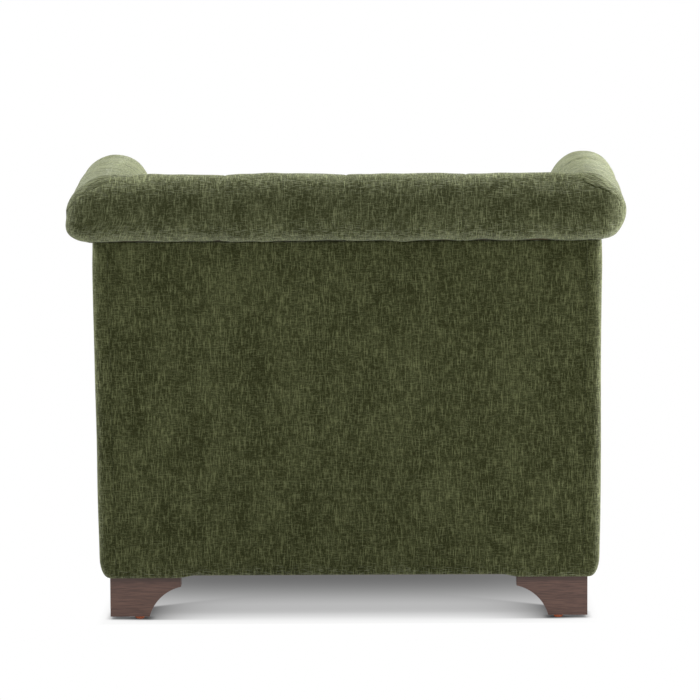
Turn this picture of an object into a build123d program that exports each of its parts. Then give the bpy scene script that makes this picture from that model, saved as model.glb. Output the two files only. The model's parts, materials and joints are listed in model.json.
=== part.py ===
"""Rolled-arm occasional chair with a deep-buttoned inside, on four bracket feet.

Lengths are millimetres. +Z is up and the floor is z = 0. The seat faces -Y and the sitter's
left hand is towards +X. The back roll and both arm rolls stand at about one height, and the
three meet in mitres at the rear corners. An "inset" is measured inwards from the outermost
line of the rolls, so that the back and the arms share one cross-section.
"""

import os
from collections import namedtuple
from math import acos, atan2, cos, degrees, hypot, pi, sin

from build123d import *

# Overall form
DEPTH = 830.0  # rear of the back roll to front of the arm facings
BACK_TOP = 774.0  # floor to the top of the back roll
REAR_HALF_WIDTH = 482.5  # centre line to the outside of the arm rolls, at the rear corners
ROLL_RADIUS = 59.0  # back roll, and the arm rolls where they meet it
SCROLL_RADIUS = 67.0  # arm rolls at the front
SCROLL_SPLAY = 26.5  # how far an arm roll's axis runs outwards to the front
SCROLL_RISE = 6.0  # how far an arm roll's top rises to the front
SIDE_OVERHANG = 41.5  # arm roll beyond the outside arm, at the rear
BODY_TAPER = 7.0  # outside arms drawn in from top to bottom
REAR_OVERHANG = 43.0  # back roll beyond the outside back
BODY_BOTTOM = 78.0  # floor to the underside of the body

# Timber frame
FRAME_INSET = 63.0  # rolls' outermost line to the frame's outer faces
FRAME_BOARD = 20.0  # thickness of rails and posts
SEAT_RAIL_HEIGHT = 168.0
TOP_RAIL_HEIGHT = 40.0
TOP_RAIL_DROP = 40.0  # roll axis to the top of the top rails
TACK_RAIL_HEIGHT = 40.0
TACK_RAIL_LIFT = 22.0  # seat rail top to the tack rails
POST_DEPTH = 60.0
CORNER_BLOCK_LEG = 85.0
CORNER_BLOCK_HEIGHT = 60.0
SCROLL_BOARD = 18.0  # shaped board at each arm front

# Upholstery layers
PAD_INSET = 182.5  # rolls' outermost line to the inside faces at seat level
BEND_HEIGHT = 450.0  # floor to where the inside faces start to lean out
QUILT = 22.0  # buttoned cover with its fibre, on the inside faces
ROLL_QUILT = 10.0  # the same cover where it goes round the rolls
WEBBING = 2.0
STIFFENER = 3.0  # card under the outside covers
OUTSIDE_BACK = 17.0  # outside back cover with its wadding
FACING = 8.0  # padded facing on each arm front
FACING_MARGIN = 6.0  # facing inside the arm's outline
FACING_ROUND = 4.0
WRAP = 10.0  # outside arm cover brought round onto the back
BODY_ROUND = 9.0  # rounding of the outside covers' edges
SEAM_GAP = 0.5  # between neighbouring covers at a seam
SOFT_GAP = 0.4  # between one soft layer and the next
DUST_COVER = 1.2

# Deep buttoning
TUFT_MARGIN = 94.0  # inside arm at seat level to the nearest button on the back
ARM_TUFT_MARGIN = 102.0  # front of the arm cover to the first button
ARM_TUFT_END = 50.0  # last button on an arm to the inside back at seat level
FIRST_ROW = 62.0  # down the lean of the inside face, from the roll
ROW_PITCH = 90.0
PLEAT_WIDTH = 32.0
PLEAT_DEPTH = 10.0
ROLL_PLEAT_WIDTH = 12.0
ROLL_PLEAT_DEPTH = 4.0
DIMPLE_DEPTH = 15.0
DIMPLE_RADIUS = 32.0
BUTTON_RADIUS = 12.0
BUTTON_HEIGHT = 8.0
BUTTON_CLEARANCE = 1.0

# Seat
SPRING_COUNT = 6
SPRING_SPACING = 100.0
SPRING_HALF_WIDTH = 24.0
SPRING_PITCH = 30.0
WIRE = 4.0
CLIP_BASE = 2.0
CLIP_WIDTH = 18.0
CLIP_PLAY = 0.2
DECK_THICKNESS = 39.0
PAD_LIFT = 4.0  # spring tops to the lower edge of the inside covers
CUSHION_GAP = 5.0  # around the loose cushion
CUSHION_EDGE = 150.0  # cushion thickness at its corners
CUSHION_CROWN = 26.0
CUSHION_DRAW = 6.0  # sides drawn in at the two seams
CUSHION_BOW = 5.0  # sides drawn in between the corners
CUSHION_CORNER = 38.0
CUSHION_COVER = 3.0
ZIP_MARGIN = 45.0  # cushion side to the end of the zip
ZIP_WIDTH = 4.0
ZIP_PLAY = 0.3
SLIDER = (12.0, 2.4, 8.0)  # zip slider along, out from and across the zip

# Feet
FOOT_INSET = 4.5  # frame's outer faces to the foot's faces
FOOT_BOARD = 28.0
FOOT_LENGTH = 123.0
FOOT_SOLE = 68.0  # length of the foot on the floor
FOOT_END = 21.0  # upright end of the foot under the body
FOOT_COVE = 10.5  # hollow of the curved edge
GLUE_LINE = 0.2
GLIDE_HEIGHT = 5.0
GLIDE_RADIUS = 9.5
GLIDE_SOLE = 6.0  # radius of the glide's flat underside
GLIDE_OFFSET = 50.0  # foot's outer corner to the glide
GLIDE_PIN = 1.5
GLIDE_PIN_LENGTH = 14.0
GLUE_BLOCK = 36.0
GLUE_BLOCK_LIFT = 14.0  # foot's sole to the underside of the glue block
SCREW_RADIUS = 2.5
SCREW_HEAD = 5.0
SCREW_BITE = 45.0
SCREW_PLAY = 0.05
DUST_CLEARANCE = 1.0

# Derived places
REAR_Y = DEPTH / 2
FRONT_Y = -DEPTH / 2
FACING_Y = FRONT_Y + FACING
FRAME_FRONT_Y = FACING_Y + SCROLL_BOARD
FLARE_Y = REAR_Y - PAD_INSET
FRAME_X = REAR_HALF_WIDTH - FRAME_INSET
FRAME_REAR_Y = REAR_Y - FRAME_INSET
INNER_X = FRAME_X - FRAME_BOARD
INNER_REAR_Y = FRAME_REAR_Y - FRAME_BOARD
INNER_FRONT_Y = FRAME_FRONT_Y + FRAME_BOARD
PANEL_Y = REAR_Y - REAR_OVERHANG
BODY_X_TOP = REAR_HALF_WIDTH - SIDE_OVERHANG
BODY_X_BOTTOM = BODY_X_TOP - BODY_TAPER
ROLL_Z = BACK_TOP - ROLL_RADIUS
BODY_TOP = ROLL_Z - ROLL_RADIUS - SEAM_GAP
TOP_RAIL_TOP = ROLL_Z - TOP_RAIL_DROP
TOP_RAIL_BOTTOM = TOP_RAIL_TOP - TOP_RAIL_HEIGHT
RAIL_TOP = BODY_BOTTOM + SEAT_RAIL_HEIGHT
TACK_RAIL_BOTTOM = RAIL_TOP + TACK_RAIL_LIFT
TACK_RAIL_TOP = TACK_RAIL_BOTTOM + TACK_RAIL_HEIGHT
WIRE_Z = RAIL_TOP + CLIP_BASE + WIRE / 2
DECK_BOTTOM = WIRE_Z + WIRE / 2 + SOFT_GAP
DECK_TOP = DECK_BOTTOM + DECK_THICKNESS
PAD_BOTTOM = DECK_BOTTOM + PAD_LIFT
SEAT_X = REAR_HALF_WIDTH - PAD_INSET
CORE_X = SEAT_X + QUILT
TUFT_WIDTH = SEAT_X - TUFT_MARGIN
ARM_TUFT_WIDTH = (FLARE_Y - FACING_Y - ARM_TUFT_MARGIN - ARM_TUFT_END) * 2 / 5
FOOT_X = FRAME_X - FOOT_INSET
FOOT_REAR_Y = FRAME_REAR_Y - FOOT_INSET
FOOT_FRONT_Y = FRONT_Y + (PANEL_Y - FOOT_REAR_Y)
INSIDE_FOOT = (PAD_INSET, BEND_HEIGHT)

Roll = namedtuple("Roll", "inset height radius")
REAR_ROLL = Roll(ROLL_RADIUS, ROLL_Z, ROLL_RADIUS)
FRONT_ROLL = Roll(
    ROLL_RADIUS - SCROLL_SPLAY, BACK_TOP + SCROLL_RISE - SCROLL_RADIUS, SCROLL_RADIUS
)
SIDES = {"left": 1, "right": -1}
ENDS = {"rear": 1, "front": -1}

os.makedirs("parts", exist_ok=True)


def save(piece, name):
    """Label a finished piece and write its STEP file."""
    piece.label = name
    export_step(piece, f"parts/{name}.step")


def board(x_span, y_span, z_span):
    """A squared member between three pairs of limits."""
    with BuildPart() as member:
        with BuildSketch(Plane.XY.offset(z_span[0])):
            with Locations((sum(x_span) / 2, sum(y_span) / 2)):
                Rectangle(abs(x_span[1] - x_span[0]), abs(y_span[1] - y_span[0]))
        extrude(amount=z_span[1] - z_span[0])
    return member.part


def arm_plane(side, y):
    """Upright plane across an arm, with insets along its first axis and height along its second."""
    return Plane(origin=(side * REAR_HALF_WIDTH, y, 0), x_dir=(-side, 0, 0), z_dir=(0, side, 0))


def back_plane(x):
    """Upright plane across the back, with insets along its first axis and height along its second."""
    return Plane(origin=(x, REAR_Y, 0), x_dir=(0, -1, 0), z_dir=(-1, 0, 0))


def mitre_plane(side):
    """Upright plane where an arm meets the back, facing the arm."""
    return Plane(origin=(side * REAR_HALF_WIDTH, REAR_Y, 0), z_dir=(side, -1, 0))


def roll_at(y):
    """An arm roll's section at one place along the arm."""
    share = min(max((FLARE_Y - y) / (FLARE_Y - FACING_Y), 0), 1)
    return Roll(*(rear + (front - rear) * share for rear, front in zip(REAR_ROLL, FRONT_ROLL)))


def on_roll(roll, radius, angle):
    """A point on a circle about the roll's axis; 0 points inwards and pi / 2 points up."""
    return (roll.inset + radius * cos(angle), roll.height + radius * sin(angle))


def touch_angle(roll, radius, foot):
    """Where a straight inside face that starts at foot runs onto the roll."""
    across, rise = foot[0] - roll.inset, foot[1] - roll.height
    return atan2(rise, across) + acos(radius / hypot(across, rise))


def tuck_angle(roll, radius, inset):
    """Where a cover that has gone round the roll meets an upright face at one inset."""
    return 2 * pi - acos((inset - roll.inset) / radius)


def under_quilt(roll, gap):
    """Bend, turn onto the roll and radius of the surface that lies under a cover.

    The surface runs parallel to the inside face, one quilt behind it, and then round the
    roll at the thinner quilt. A gap sets it further back.
    """
    look = touch_angle(roll, roll.radius, INSIDE_FOOT)
    radius = roll.radius - ROLL_QUILT - gap
    depth = roll.radius - QUILT - gap
    inset = PAD_INSET - QUILT - gap
    height = roll.height + (depth - (inset - roll.inset) * cos(look)) / sin(look)
    return (inset, height), look + acos(depth / radius), radius


def roll_curve(roll, radius, start, end):
    """Draw the way round the roll in two arcs."""
    turns = [start + (end - start) * share for share in (0, 0.25, 0.5, 0.75, 1)]
    points = [on_roll(roll, radius, turn) for turn in turns]
    ThreePointArc(*points[:3])
    ThreePointArc(*points[2:])


def cover_face(plane, roll):
    """Section of a buttoned cover: up the inside face, round the roll and under to the frame."""
    inner_foot, inner_start, inner = under_quilt(roll, 0)
    start = touch_angle(roll, roll.radius, INSIDE_FOOT)
    end = tuck_angle(roll, roll.radius, FRAME_INSET)
    inner_end = tuck_angle(roll, inner, FRAME_INSET)
    with BuildSketch(plane) as section:
        with BuildLine():
            Polyline((PAD_INSET, PAD_BOTTOM), INSIDE_FOOT, on_roll(roll, roll.radius, start))
            roll_curve(roll, roll.radius, start, end)
            Line(on_roll(roll, roll.radius, end), on_roll(roll, inner, inner_end))
            roll_curve(roll, inner, inner_end, inner_start)
            Polyline(
                on_roll(roll, inner, inner_start),
                inner_foot,
                (inner_foot[0], PAD_BOTTOM),
                (PAD_INSET, PAD_BOTTOM),
            )
        make_face()
    return section.sketch


def foam_face(plane, roll):
    """Section of the foam that fills a cover: the pad on the webbing and the core of the roll."""
    foot, start, radius = under_quilt(roll, SOFT_GAP)
    end = tuck_angle(roll, radius, FRAME_INSET)
    web_inset = FRAME_INSET + FRAME_BOARD + WEBBING
    with BuildSketch(plane) as section:
        with BuildLine():
            Polyline((foot[0], PAD_BOTTOM), foot, on_roll(roll, radius, start))
            roll_curve(roll, radius, start, end)
            Polyline(
                on_roll(roll, radius, end),
                (FRAME_INSET, TOP_RAIL_TOP),
                (web_inset, TOP_RAIL_TOP),
                (web_inset, PAD_BOTTOM),
                (foot[0], PAD_BOTTOM),
            )
        make_face()
    return section.sketch


def arm_front_face(plane, roll, bend, top_inset, bottom_inset):
    """Outline of an arm front: a scroll on a stem that goes down to the body's underside."""
    foot, start, radius = bend
    end = tuck_angle(roll, radius, top_inset)
    with BuildSketch(plane) as section:
        with BuildLine():
            Polyline((foot[0], BODY_BOTTOM), foot, on_roll(roll, radius, start))
            roll_curve(roll, radius, start, end)
            Polyline(
                on_roll(roll, radius, end),
                (bottom_inset, BODY_BOTTOM),
                (foot[0], BODY_BOTTOM),
            )
        make_face()
    return section.sketch


def inside_point(roll, drop):
    """Inset and height of a point some way down the lean of an inside face."""
    top = on_roll(roll, roll.radius, touch_angle(roll, roll.radius, INSIDE_FOOT))
    share = drop / hypot(INSIDE_FOOT[0] - top[0], INSIDE_FOOT[1] - top[1])
    return tuple(high + (low - high) * share for high, low in zip(top, INSIDE_FOOT))


def inside_normal(roll):
    """Inset and height parts of the direction in which an inside face looks."""
    angle = touch_angle(roll, roll.radius, INSIDE_FOOT)
    return (cos(angle), sin(angle))


def back_tuft(x, drop):
    """A point on the inside back and the direction in which the face looks there."""
    inset, height = inside_point(REAR_ROLL, drop)
    inward, up = inside_normal(REAR_ROLL)
    return Vector(x, REAR_Y - inset, height), Vector(0, -inward, up)


def arm_tuft(side, y, drop):
    """A point on an inside arm and the direction in which the face looks there."""
    inset, height = inside_point(roll_at(y), drop)
    inward, up = inside_normal(roll_at(y))
    return Vector(side * (REAR_HALF_WIDTH - inset), y, height), Vector(-side * inward, 0, up)


def pleat(start, end):
    """A fold's hollow along an inside face, from one tuft to another."""
    (origin, normal), (target, _) = start, end
    run = target - origin
    with BuildSketch(
        Plane(origin=origin, x_dir=normal.cross(run), z_dir=run), mode=Mode.PRIVATE
    ) as fold:
        with BuildLine():
            Polyline(
                (-PLEAT_WIDTH / 2, SEAM_GAP),
                (0, -PLEAT_DEPTH),
                (PLEAT_WIDTH / 2, SEAM_GAP),
                close=True,
            )
        make_face()
    return extrude(fold.sketch, amount=run.length, mode=Mode.PRIVATE)


def roll_pleat(centre, axis, radial, roll):
    """A fold's hollow round a roll, from the inside face to the seam under the roll."""
    start = touch_angle(roll, roll.radius, INSIDE_FOOT)
    end = tuck_angle(roll, roll.radius, FRAME_INSET)
    with BuildSketch(
        Plane(origin=centre, x_dir=axis, z_dir=axis.cross(radial)), mode=Mode.PRIVATE
    ) as fold:
        with BuildLine():
            Polyline(
                (-ROLL_PLEAT_WIDTH / 2, roll.radius + SEAM_GAP),
                (0, roll.radius - ROLL_PLEAT_DEPTH),
                (ROLL_PLEAT_WIDTH / 2, roll.radius + SEAM_GAP),
                close=True,
            )
        make_face()
    return revolve(
        fold.sketch,
        axis=Axis(centre, axis),
        revolution_arc=degrees(end - start),
        mode=Mode.PRIVATE,
    )


def dimple(tuft):
    """The hollow that one button pulls into a cover."""
    point, normal = tuft
    with BuildPart(
        Plane(origin=point - normal * DIMPLE_DEPTH, z_dir=normal), mode=Mode.PRIVATE
    ) as hollow:
        Cone(
            BUTTON_RADIUS + BUTTON_CLEARANCE,
            DIMPLE_RADIUS,
            DIMPLE_DEPTH + SEAM_GAP,
            align=(Align.CENTER, Align.CENTER, Align.MIN),
        )
    return hollow.part


def tuft_rows(place, columns):
    """Buttons in three rows, staggered, with the folds that join them."""
    half = (columns[1] - columns[0]) / 2
    rows = [FIRST_ROW + ROW_PITCH * row for row in range(3)]
    outer = [place(column, rows[row]) for row in (0, 2) for column in columns]
    folds = [
        pleat(place(column, rows[row]), place(column + step, rows[1]))
        for row in (0, 2)
        for column in columns
        for step in (-half, half)
    ]
    folds += [pleat(place(column, 0), place(column, rows[0])) for column in columns]
    return outer, folds, rows[1], half


BACK_COLUMNS = [TUFT_WIDTH * step for step in (-1, 0, 1)]
ARM_COLUMNS = [FACING_Y + ARM_TUFT_MARGIN + ARM_TUFT_WIDTH * step for step in range(3)]

with BuildPart() as button:
    with BuildSketch(Plane.XZ):
        with BuildLine():
            Polyline((0, BUTTON_HEIGHT), (0, 0), (BUTTON_RADIUS, 0))
            RadiusArc(
                (BUTTON_RADIUS, 0),
                (0, BUTTON_HEIGHT),
                -(BUTTON_RADIUS**2 + BUTTON_HEIGHT**2) / (2 * BUTTON_HEIGHT),
            )
        make_face()
    revolve(axis=Axis.Z)


def button_group(tufts):
    """Covered buttons at the bottom of their dimples."""
    with BuildPart() as group:
        for point, normal in tufts:
            seat = Plane(origin=point - normal * DIMPLE_DEPTH, z_dir=normal)
            add(button.part.moved(seat.location))
    return group.part


# Back cover, foam and buttons
back_outer, back_folds, middle_row, half_step = tuft_rows(back_tuft, BACK_COLUMNS)
back_tufts = back_outer + [
    back_tuft(column + half_step, middle_row) for column in BACK_COLUMNS[:-1]
]
roll_start = touch_angle(REAR_ROLL, ROLL_RADIUS, INSIDE_FOOT)
back_folds += [
    roll_pleat(
        Vector(x, REAR_Y - ROLL_RADIUS, ROLL_Z),
        Vector(-1, 0, 0),
        Vector(0, -cos(roll_start), sin(roll_start)),
        REAR_ROLL,
    )
    for x in BACK_COLUMNS
]
with BuildPart() as back_cover:
    extrude(cover_face(back_plane(REAR_HALF_WIDTH), REAR_ROLL), amount=2 * REAR_HALF_WIDTH)
    for side in SIDES.values():
        split(bisect_by=mitre_plane(side), keep=Keep.BOTTOM)
    add(back_folds + [dimple(tuft) for tuft in back_tufts], mode=Mode.SUBTRACT)
save(back_cover.part, "back_cover")

with BuildPart() as back_foam:
    extrude(foam_face(back_plane(REAR_HALF_WIDTH), REAR_ROLL), amount=2 * REAR_HALF_WIDTH)
    for side in SIDES.values():
        split(bisect_by=mitre_plane(side), keep=Keep.BOTTOM)
save(back_foam.part, "back_foam")
save(button_group(back_tufts), "back_buttons")


def arm_tufts(side):
    """Tufts of one inside arm and the folds that join them and go over its roll."""

    def place(y, drop):
        return arm_tuft(side, y, drop)

    outer, folds, middle, half = tuft_rows(place, ARM_COLUMNS)
    tufts = outer + [place(column + half, middle) for column in ARM_COLUMNS]
    last = place(ARM_COLUMNS[-1] + half, middle)
    for row in (0, 2):
        folds.append(pleat(last, place(ARM_COLUMNS[-1] + 2 * half, FIRST_ROW + ROW_PITCH * row)))
    for y in ARM_COLUMNS:
        roll = roll_at(y)
        angle = touch_angle(roll, roll.radius, INSIDE_FOOT)
        centre = Vector(side * (REAR_HALF_WIDTH - roll.inset), y, roll.height)
        radial = Vector(-side * cos(angle), 0, sin(angle))
        folds.append(roll_pleat(centre, Vector(0, side, 0), radial, roll))
    return tufts, folds


def arm_cover(side, tufts, folds):
    """One arm's buttoned cover, from the seat over the roll to the outside arm."""
    with BuildPart() as cover:
        sections = [cover_face(arm_plane(side, y), roll_at(y)) for y in (REAR_Y, FLARE_Y, FACING_Y)]
        loft(sections=sections, ruled=True)
        split(bisect_by=mitre_plane(side), keep=Keep.TOP)
        add(folds + [dimple(tuft) for tuft in tufts], mode=Mode.SUBTRACT)
    return cover.part


def arm_foam(side):
    """The foam under one arm's cover, up to the board at the arm's front."""
    with BuildPart() as foam:
        places = (REAR_Y, FLARE_Y, FRAME_FRONT_Y)
        sections = [foam_face(arm_plane(side, y), roll_at(y)) for y in places]
        loft(sections=sections, ruled=True)
        split(bisect_by=mitre_plane(side), keep=Keep.TOP)
    return foam.part


def outside_arm(side):
    """One outside arm cover, brought round the rear corner and up under the roll."""
    x_inner = FRAME_X + STIFFENER
    with BuildPart() as panel:
        with BuildSketch(Plane.XZ.offset(-FACING_Y)):
            with BuildLine():
                Polyline(
                    (side * x_inner, BODY_BOTTOM),
                    (side * BODY_X_BOTTOM, BODY_BOTTOM),
                    (side * BODY_X_TOP, ROLL_Z),
                    (side * x_inner, ROLL_Z),
                    close=True,
                )
            make_face()
        extrude(amount=-(PANEL_Y - FACING_Y))
        outer = panel.faces().sort_by(Axis.X)[-1 if side > 0 else 0]
        rear = outer.edges().sort_by(Axis.Y)[-1]
        bottom = outer.edges().sort_by(Axis.Z)[0]
        fillet([rear, bottom], radius=BODY_ROUND)
        with BuildSketch(Plane.XZ.offset(-FRAME_REAR_Y)):
            with BuildLine():
                Polyline(
                    (0, BODY_BOTTOM),
                    (side * (BODY_X_BOTTOM - WRAP + SEAM_GAP), BODY_BOTTOM),
                    (side * (BODY_X_TOP - WRAP + SEAM_GAP), ROLL_Z),
                    (0, ROLL_Z),
                    close=True,
                )
            make_face()
        extrude(amount=-(REAR_Y - FRAME_REAR_Y), mode=Mode.SUBTRACT)
        rolls = []
        for y in (REAR_Y, FLARE_Y, FRONT_Y):
            roll = roll_at(y)
            with BuildSketch(arm_plane(side, y), mode=Mode.PRIVATE) as tunnel:
                with Locations((roll.inset, roll.height)):
                    Circle(roll.radius + SEAM_GAP)
            rolls.append(tunnel.sketch)
        loft(sections=rolls, ruled=True, mode=Mode.SUBTRACT)
        split(bisect_by=Plane.XY.offset(BODY_TOP), keep=Keep.BOTTOM)
    return panel.part


def arm_facing(side):
    """The padded facing on one arm front, inside the arm's outline."""
    plane = arm_plane(side, FACING_Y)
    top = REAR_HALF_WIDTH - BODY_X_TOP + FACING_MARGIN
    radius = SCROLL_RADIUS - FACING_MARGIN
    foot = (PAD_INSET - FACING_MARGIN, BEND_HEIGHT)
    bend = (foot, touch_angle(FRONT_ROLL, radius, foot), radius)
    outline = arm_front_face(plane, FRONT_ROLL, bend, top, top + BODY_TAPER)
    with BuildPart() as facing:
        extrude(outline, amount=-side * FACING)
        fillet(facing.faces().sort_by(Axis.Y)[0].edges(), radius=FACING_ROUND)
    return facing.part


def scroll_board(side):
    """The shaped board that carries one facing and ends the arm's foam."""
    sections = []
    for y in (FACING_Y, FRAME_FRONT_Y):
        bend = under_quilt(roll_at(y), SOFT_GAP)
        sections.append(
            arm_front_face(arm_plane(side, y), roll_at(y), bend, FRAME_INSET, FRAME_INSET)
        )
    with BuildPart() as shaped:
        loft(sections=sections, ruled=True)
    return shaped.part


def webbing_group(face, centres, width, along_x):
    """Upright straps from a tack rail to a top rail."""
    with BuildPart() as straps:
        with BuildSketch(Plane.XY.offset(TACK_RAIL_BOTTOM)):
            for centre in centres:
                with Locations((centre, face) if along_x else (face, centre)):
                    Rectangle(*((width, WEBBING) if along_x else (WEBBING, width)))
        extrude(amount=TOP_RAIL_TOP - TACK_RAIL_BOTTOM)
    return straps.part


STRAP_WIDTH = 50.0
BACK_STRAPS = (-240.0, -80.0, 80.0, 240.0)
ARM_STRAPS = (-250.0, -60.0, 130.0)
POST_FRONT_Y = FRAME_FRONT_Y + POST_DEPTH
POST_REAR_Y = FRAME_REAR_Y - POST_DEPTH

# Both arms: frame, webbing, foam and covers
for name, side in SIDES.items():
    tufts, folds = arm_tufts(side)
    across = (side * INNER_X, side * FRAME_X)
    between = (POST_FRONT_Y, POST_REAR_Y)
    save(board(across, between, (BODY_BOTTOM, RAIL_TOP)), f"{name}_seat_rail")
    save(board(across, between, (TACK_RAIL_BOTTOM, TACK_RAIL_TOP)), f"{name}_arm_tack_rail")
    save(
        board(across, (FRAME_FRONT_Y, POST_FRONT_Y), (BODY_BOTTOM, TOP_RAIL_BOTTOM)),
        f"{name}_arm_post",
    )
    save(
        board(across, (POST_REAR_Y, FRAME_REAR_Y), (BODY_BOTTOM, TOP_RAIL_BOTTOM)),
        f"{name}_back_post",
    )
    save(
        board(across, (FRAME_FRONT_Y, FRAME_REAR_Y), (TOP_RAIL_BOTTOM, TOP_RAIL_TOP)),
        f"{name}_arm_top_rail",
    )
    save(
        webbing_group(side * (INNER_X - WEBBING / 2), ARM_STRAPS, STRAP_WIDTH, False),
        f"{name}_arm_webbing",
    )
    save(arm_foam(side), f"{name}_arm_foam")
    save(arm_cover(side, tufts, folds), f"{name}_arm_cover")
    save(button_group(tufts), f"{name}_arm_buttons")
    save(scroll_board(side), f"{name}_scroll_board")
    save(arm_facing(side), f"{name}_arm_facing")
    save(outside_arm(side), f"{name}_outside_arm")
    save(
        board(
            (side * FRAME_X, side * (FRAME_X + STIFFENER)),
            (FRAME_FRONT_Y, FRAME_REAR_Y),
            (BODY_BOTTOM, TOP_RAIL_BOTTOM - STIFFENER),
        ),
        f"{name}_arm_stiffener",
    )

# Rails between the arms, and the back's webbing
between_arms = (-INNER_X, INNER_X)
back_boards = (INNER_REAR_Y, FRAME_REAR_Y)
save(board(between_arms, (FRAME_FRONT_Y, INNER_FRONT_Y), (BODY_BOTTOM, RAIL_TOP)), "front_seat_rail")
save(board(between_arms, back_boards, (BODY_BOTTOM, RAIL_TOP)), "rear_seat_rail")
save(board(between_arms, back_boards, (TACK_RAIL_BOTTOM, TACK_RAIL_TOP)), "back_tack_rail")
save(board(between_arms, back_boards, (TOP_RAIL_BOTTOM, TOP_RAIL_TOP)), "back_top_rail")
save(webbing_group(INNER_REAR_Y - WEBBING / 2, BACK_STRAPS, STRAP_WIDTH, True), "back_webbing")
save(
    board(
        (-FRAME_X, FRAME_X),
        (FRAME_REAR_Y, FRAME_REAR_Y + STIFFENER),
        (BODY_BOTTOM, TOP_RAIL_BOTTOM - STIFFENER),
    ),
    "back_stiffener",
)

with BuildPart() as outside_back:
    with BuildSketch(Plane.XZ.offset(-(PANEL_Y - OUTSIDE_BACK))):
        with BuildLine():
            Polyline(
                (-(BODY_X_BOTTOM - WRAP), BODY_BOTTOM),
                (BODY_X_BOTTOM - WRAP, BODY_BOTTOM),
                (BODY_X_TOP - WRAP, ROLL_Z),
                (-(BODY_X_TOP - WRAP), ROLL_Z),
                close=True,
            )
        make_face()
    extrude(amount=-OUTSIDE_BACK)
    split(bisect_by=Plane.XY.offset(BODY_TOP), keep=Keep.BOTTOM)
    fillet(outside_back.faces().sort_by(Axis.Y)[-1].edges().sort_by(Axis.Z)[0], radius=BODY_ROUND)
save(outside_back.part, "outside_back")

with BuildPart() as front_border:
    with BuildSketch(Plane.XY.offset(BODY_BOTTOM)):
        with Locations((0, (FACING_Y + FRAME_FRONT_Y) / 2)):
            Rectangle(2 * (CORE_X - SEAM_GAP), SCROLL_BOARD)
    extrude(amount=DECK_TOP - BODY_BOTTOM)
    front = front_border.faces().sort_by(Axis.Y)[0]
    fillet(front.edges().sort_by(Axis.Z)[-1], radius=BODY_ROUND)
    fillet(front_border.faces().sort_by(Axis.Y)[0].edges().sort_by(Axis.Z)[0], radius=FACING_ROUND)
    with BuildSketch(Plane.XY.offset(PAD_BOTTOM - SOFT_GAP)):
        for side in SIDES.values():
            with Locations((side * (SEAT_X + QUILT), (FACING_Y + FRAME_FRONT_Y) / 2)):
                Rectangle(2 * (QUILT + SEAM_GAP), 2 * SCROLL_BOARD)
    extrude(amount=DECK_TOP, mode=Mode.SUBTRACT)
save(front_border.part, "front_border")

# Seat springs, their clips, and the deck on them
SPRING_FRONT_Y = (FRAME_FRONT_Y + INNER_FRONT_Y) / 2
SPRING_REAR_Y = (FRAME_REAR_Y + INNER_REAR_Y) / 2
spring_rows = round((SPRING_REAR_Y - SPRING_FRONT_Y) / SPRING_PITCH)
row_step = (SPRING_REAR_Y - SPRING_FRONT_Y) / spring_rows
BEND_SHARE = 0.45
spring_points = []
for row in range(spring_rows + 1):
    reach = SPRING_HALF_WIDTH if row % 2 else -SPRING_HALF_WIDTH
    for x in (reach, -reach):
        spring_points.append((x, SPRING_FRONT_Y + row_step * row, WIRE_Z))
with BuildPart() as spring:
    with BuildLine() as run:
        FilletPolyline(*spring_points, radius=BEND_SHARE * row_step)
    with BuildSketch(Plane(origin=spring_points[0], z_dir=(1, 0, 0))):
        Circle(WIRE / 2)
    sweep()
spring_places = [
    SPRING_SPACING * (index - (SPRING_COUNT - 1) / 2) for index in range(SPRING_COUNT)
]
with BuildPart() as seat_springs:
    for x in spring_places:
        add(spring.part.moved(Location((x, 0, 0))))
save(seat_springs.part, "seat_springs")

with BuildPart() as spring_clips:
    with BuildSketch(Plane.XY.offset(RAIL_TOP)):
        for x in spring_places:
            with Locations((x, SPRING_FRONT_Y), (x, SPRING_REAR_Y)):
                Rectangle(CLIP_WIDTH, CLIP_WIDTH)
    extrude(amount=CLIP_BASE + WIRE * 3 / 4)
    for y in (SPRING_FRONT_Y, SPRING_REAR_Y):
        with BuildSketch(Plane(origin=(-FRAME_X, y, WIRE_Z), z_dir=(1, 0, 0))):
            Circle(WIRE / 2 + CLIP_PLAY)
        extrude(amount=2 * FRAME_X, mode=Mode.SUBTRACT)
save(spring_clips.part, "spring_clips")

save(
    board(
        (-(SEAT_X - SEAM_GAP), SEAT_X - SEAM_GAP),
        (FRAME_FRONT_Y, FLARE_Y - SEAM_GAP),
        (DECK_BOTTOM, DECK_TOP),
    ),
    "seat_deck",
)

# Loose seat cushion: cover, foam core, zip and zip slider
CUSHION_X = SEAT_X - CUSHION_GAP
ZIP_LENGTH = 2 * (CUSHION_X - ZIP_MARGIN)
CUSHION_FRONT_Y = FACING_Y
CUSHION_REAR_Y = FLARE_Y - CUSHION_GAP - SLIDER[1]
CUSHION_MIDDLE = (CUSHION_FRONT_Y + CUSHION_REAR_Y) / 2
CUSHION_Y = (CUSHION_REAR_Y - CUSHION_FRONT_Y) / 2
CUSHION_SPREAD = hypot(CUSHION_X, CUSHION_Y)
CROWN_RADIUS = (CUSHION_SPREAD**2 + CUSHION_CROWN**2) / (2 * CUSHION_CROWN)
CUSHION_TOP = DECK_TOP + CUSHION_EDGE + CUSHION_CROWN
WAIST_Z = DECK_TOP + CUSHION_EDGE / 2


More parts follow.
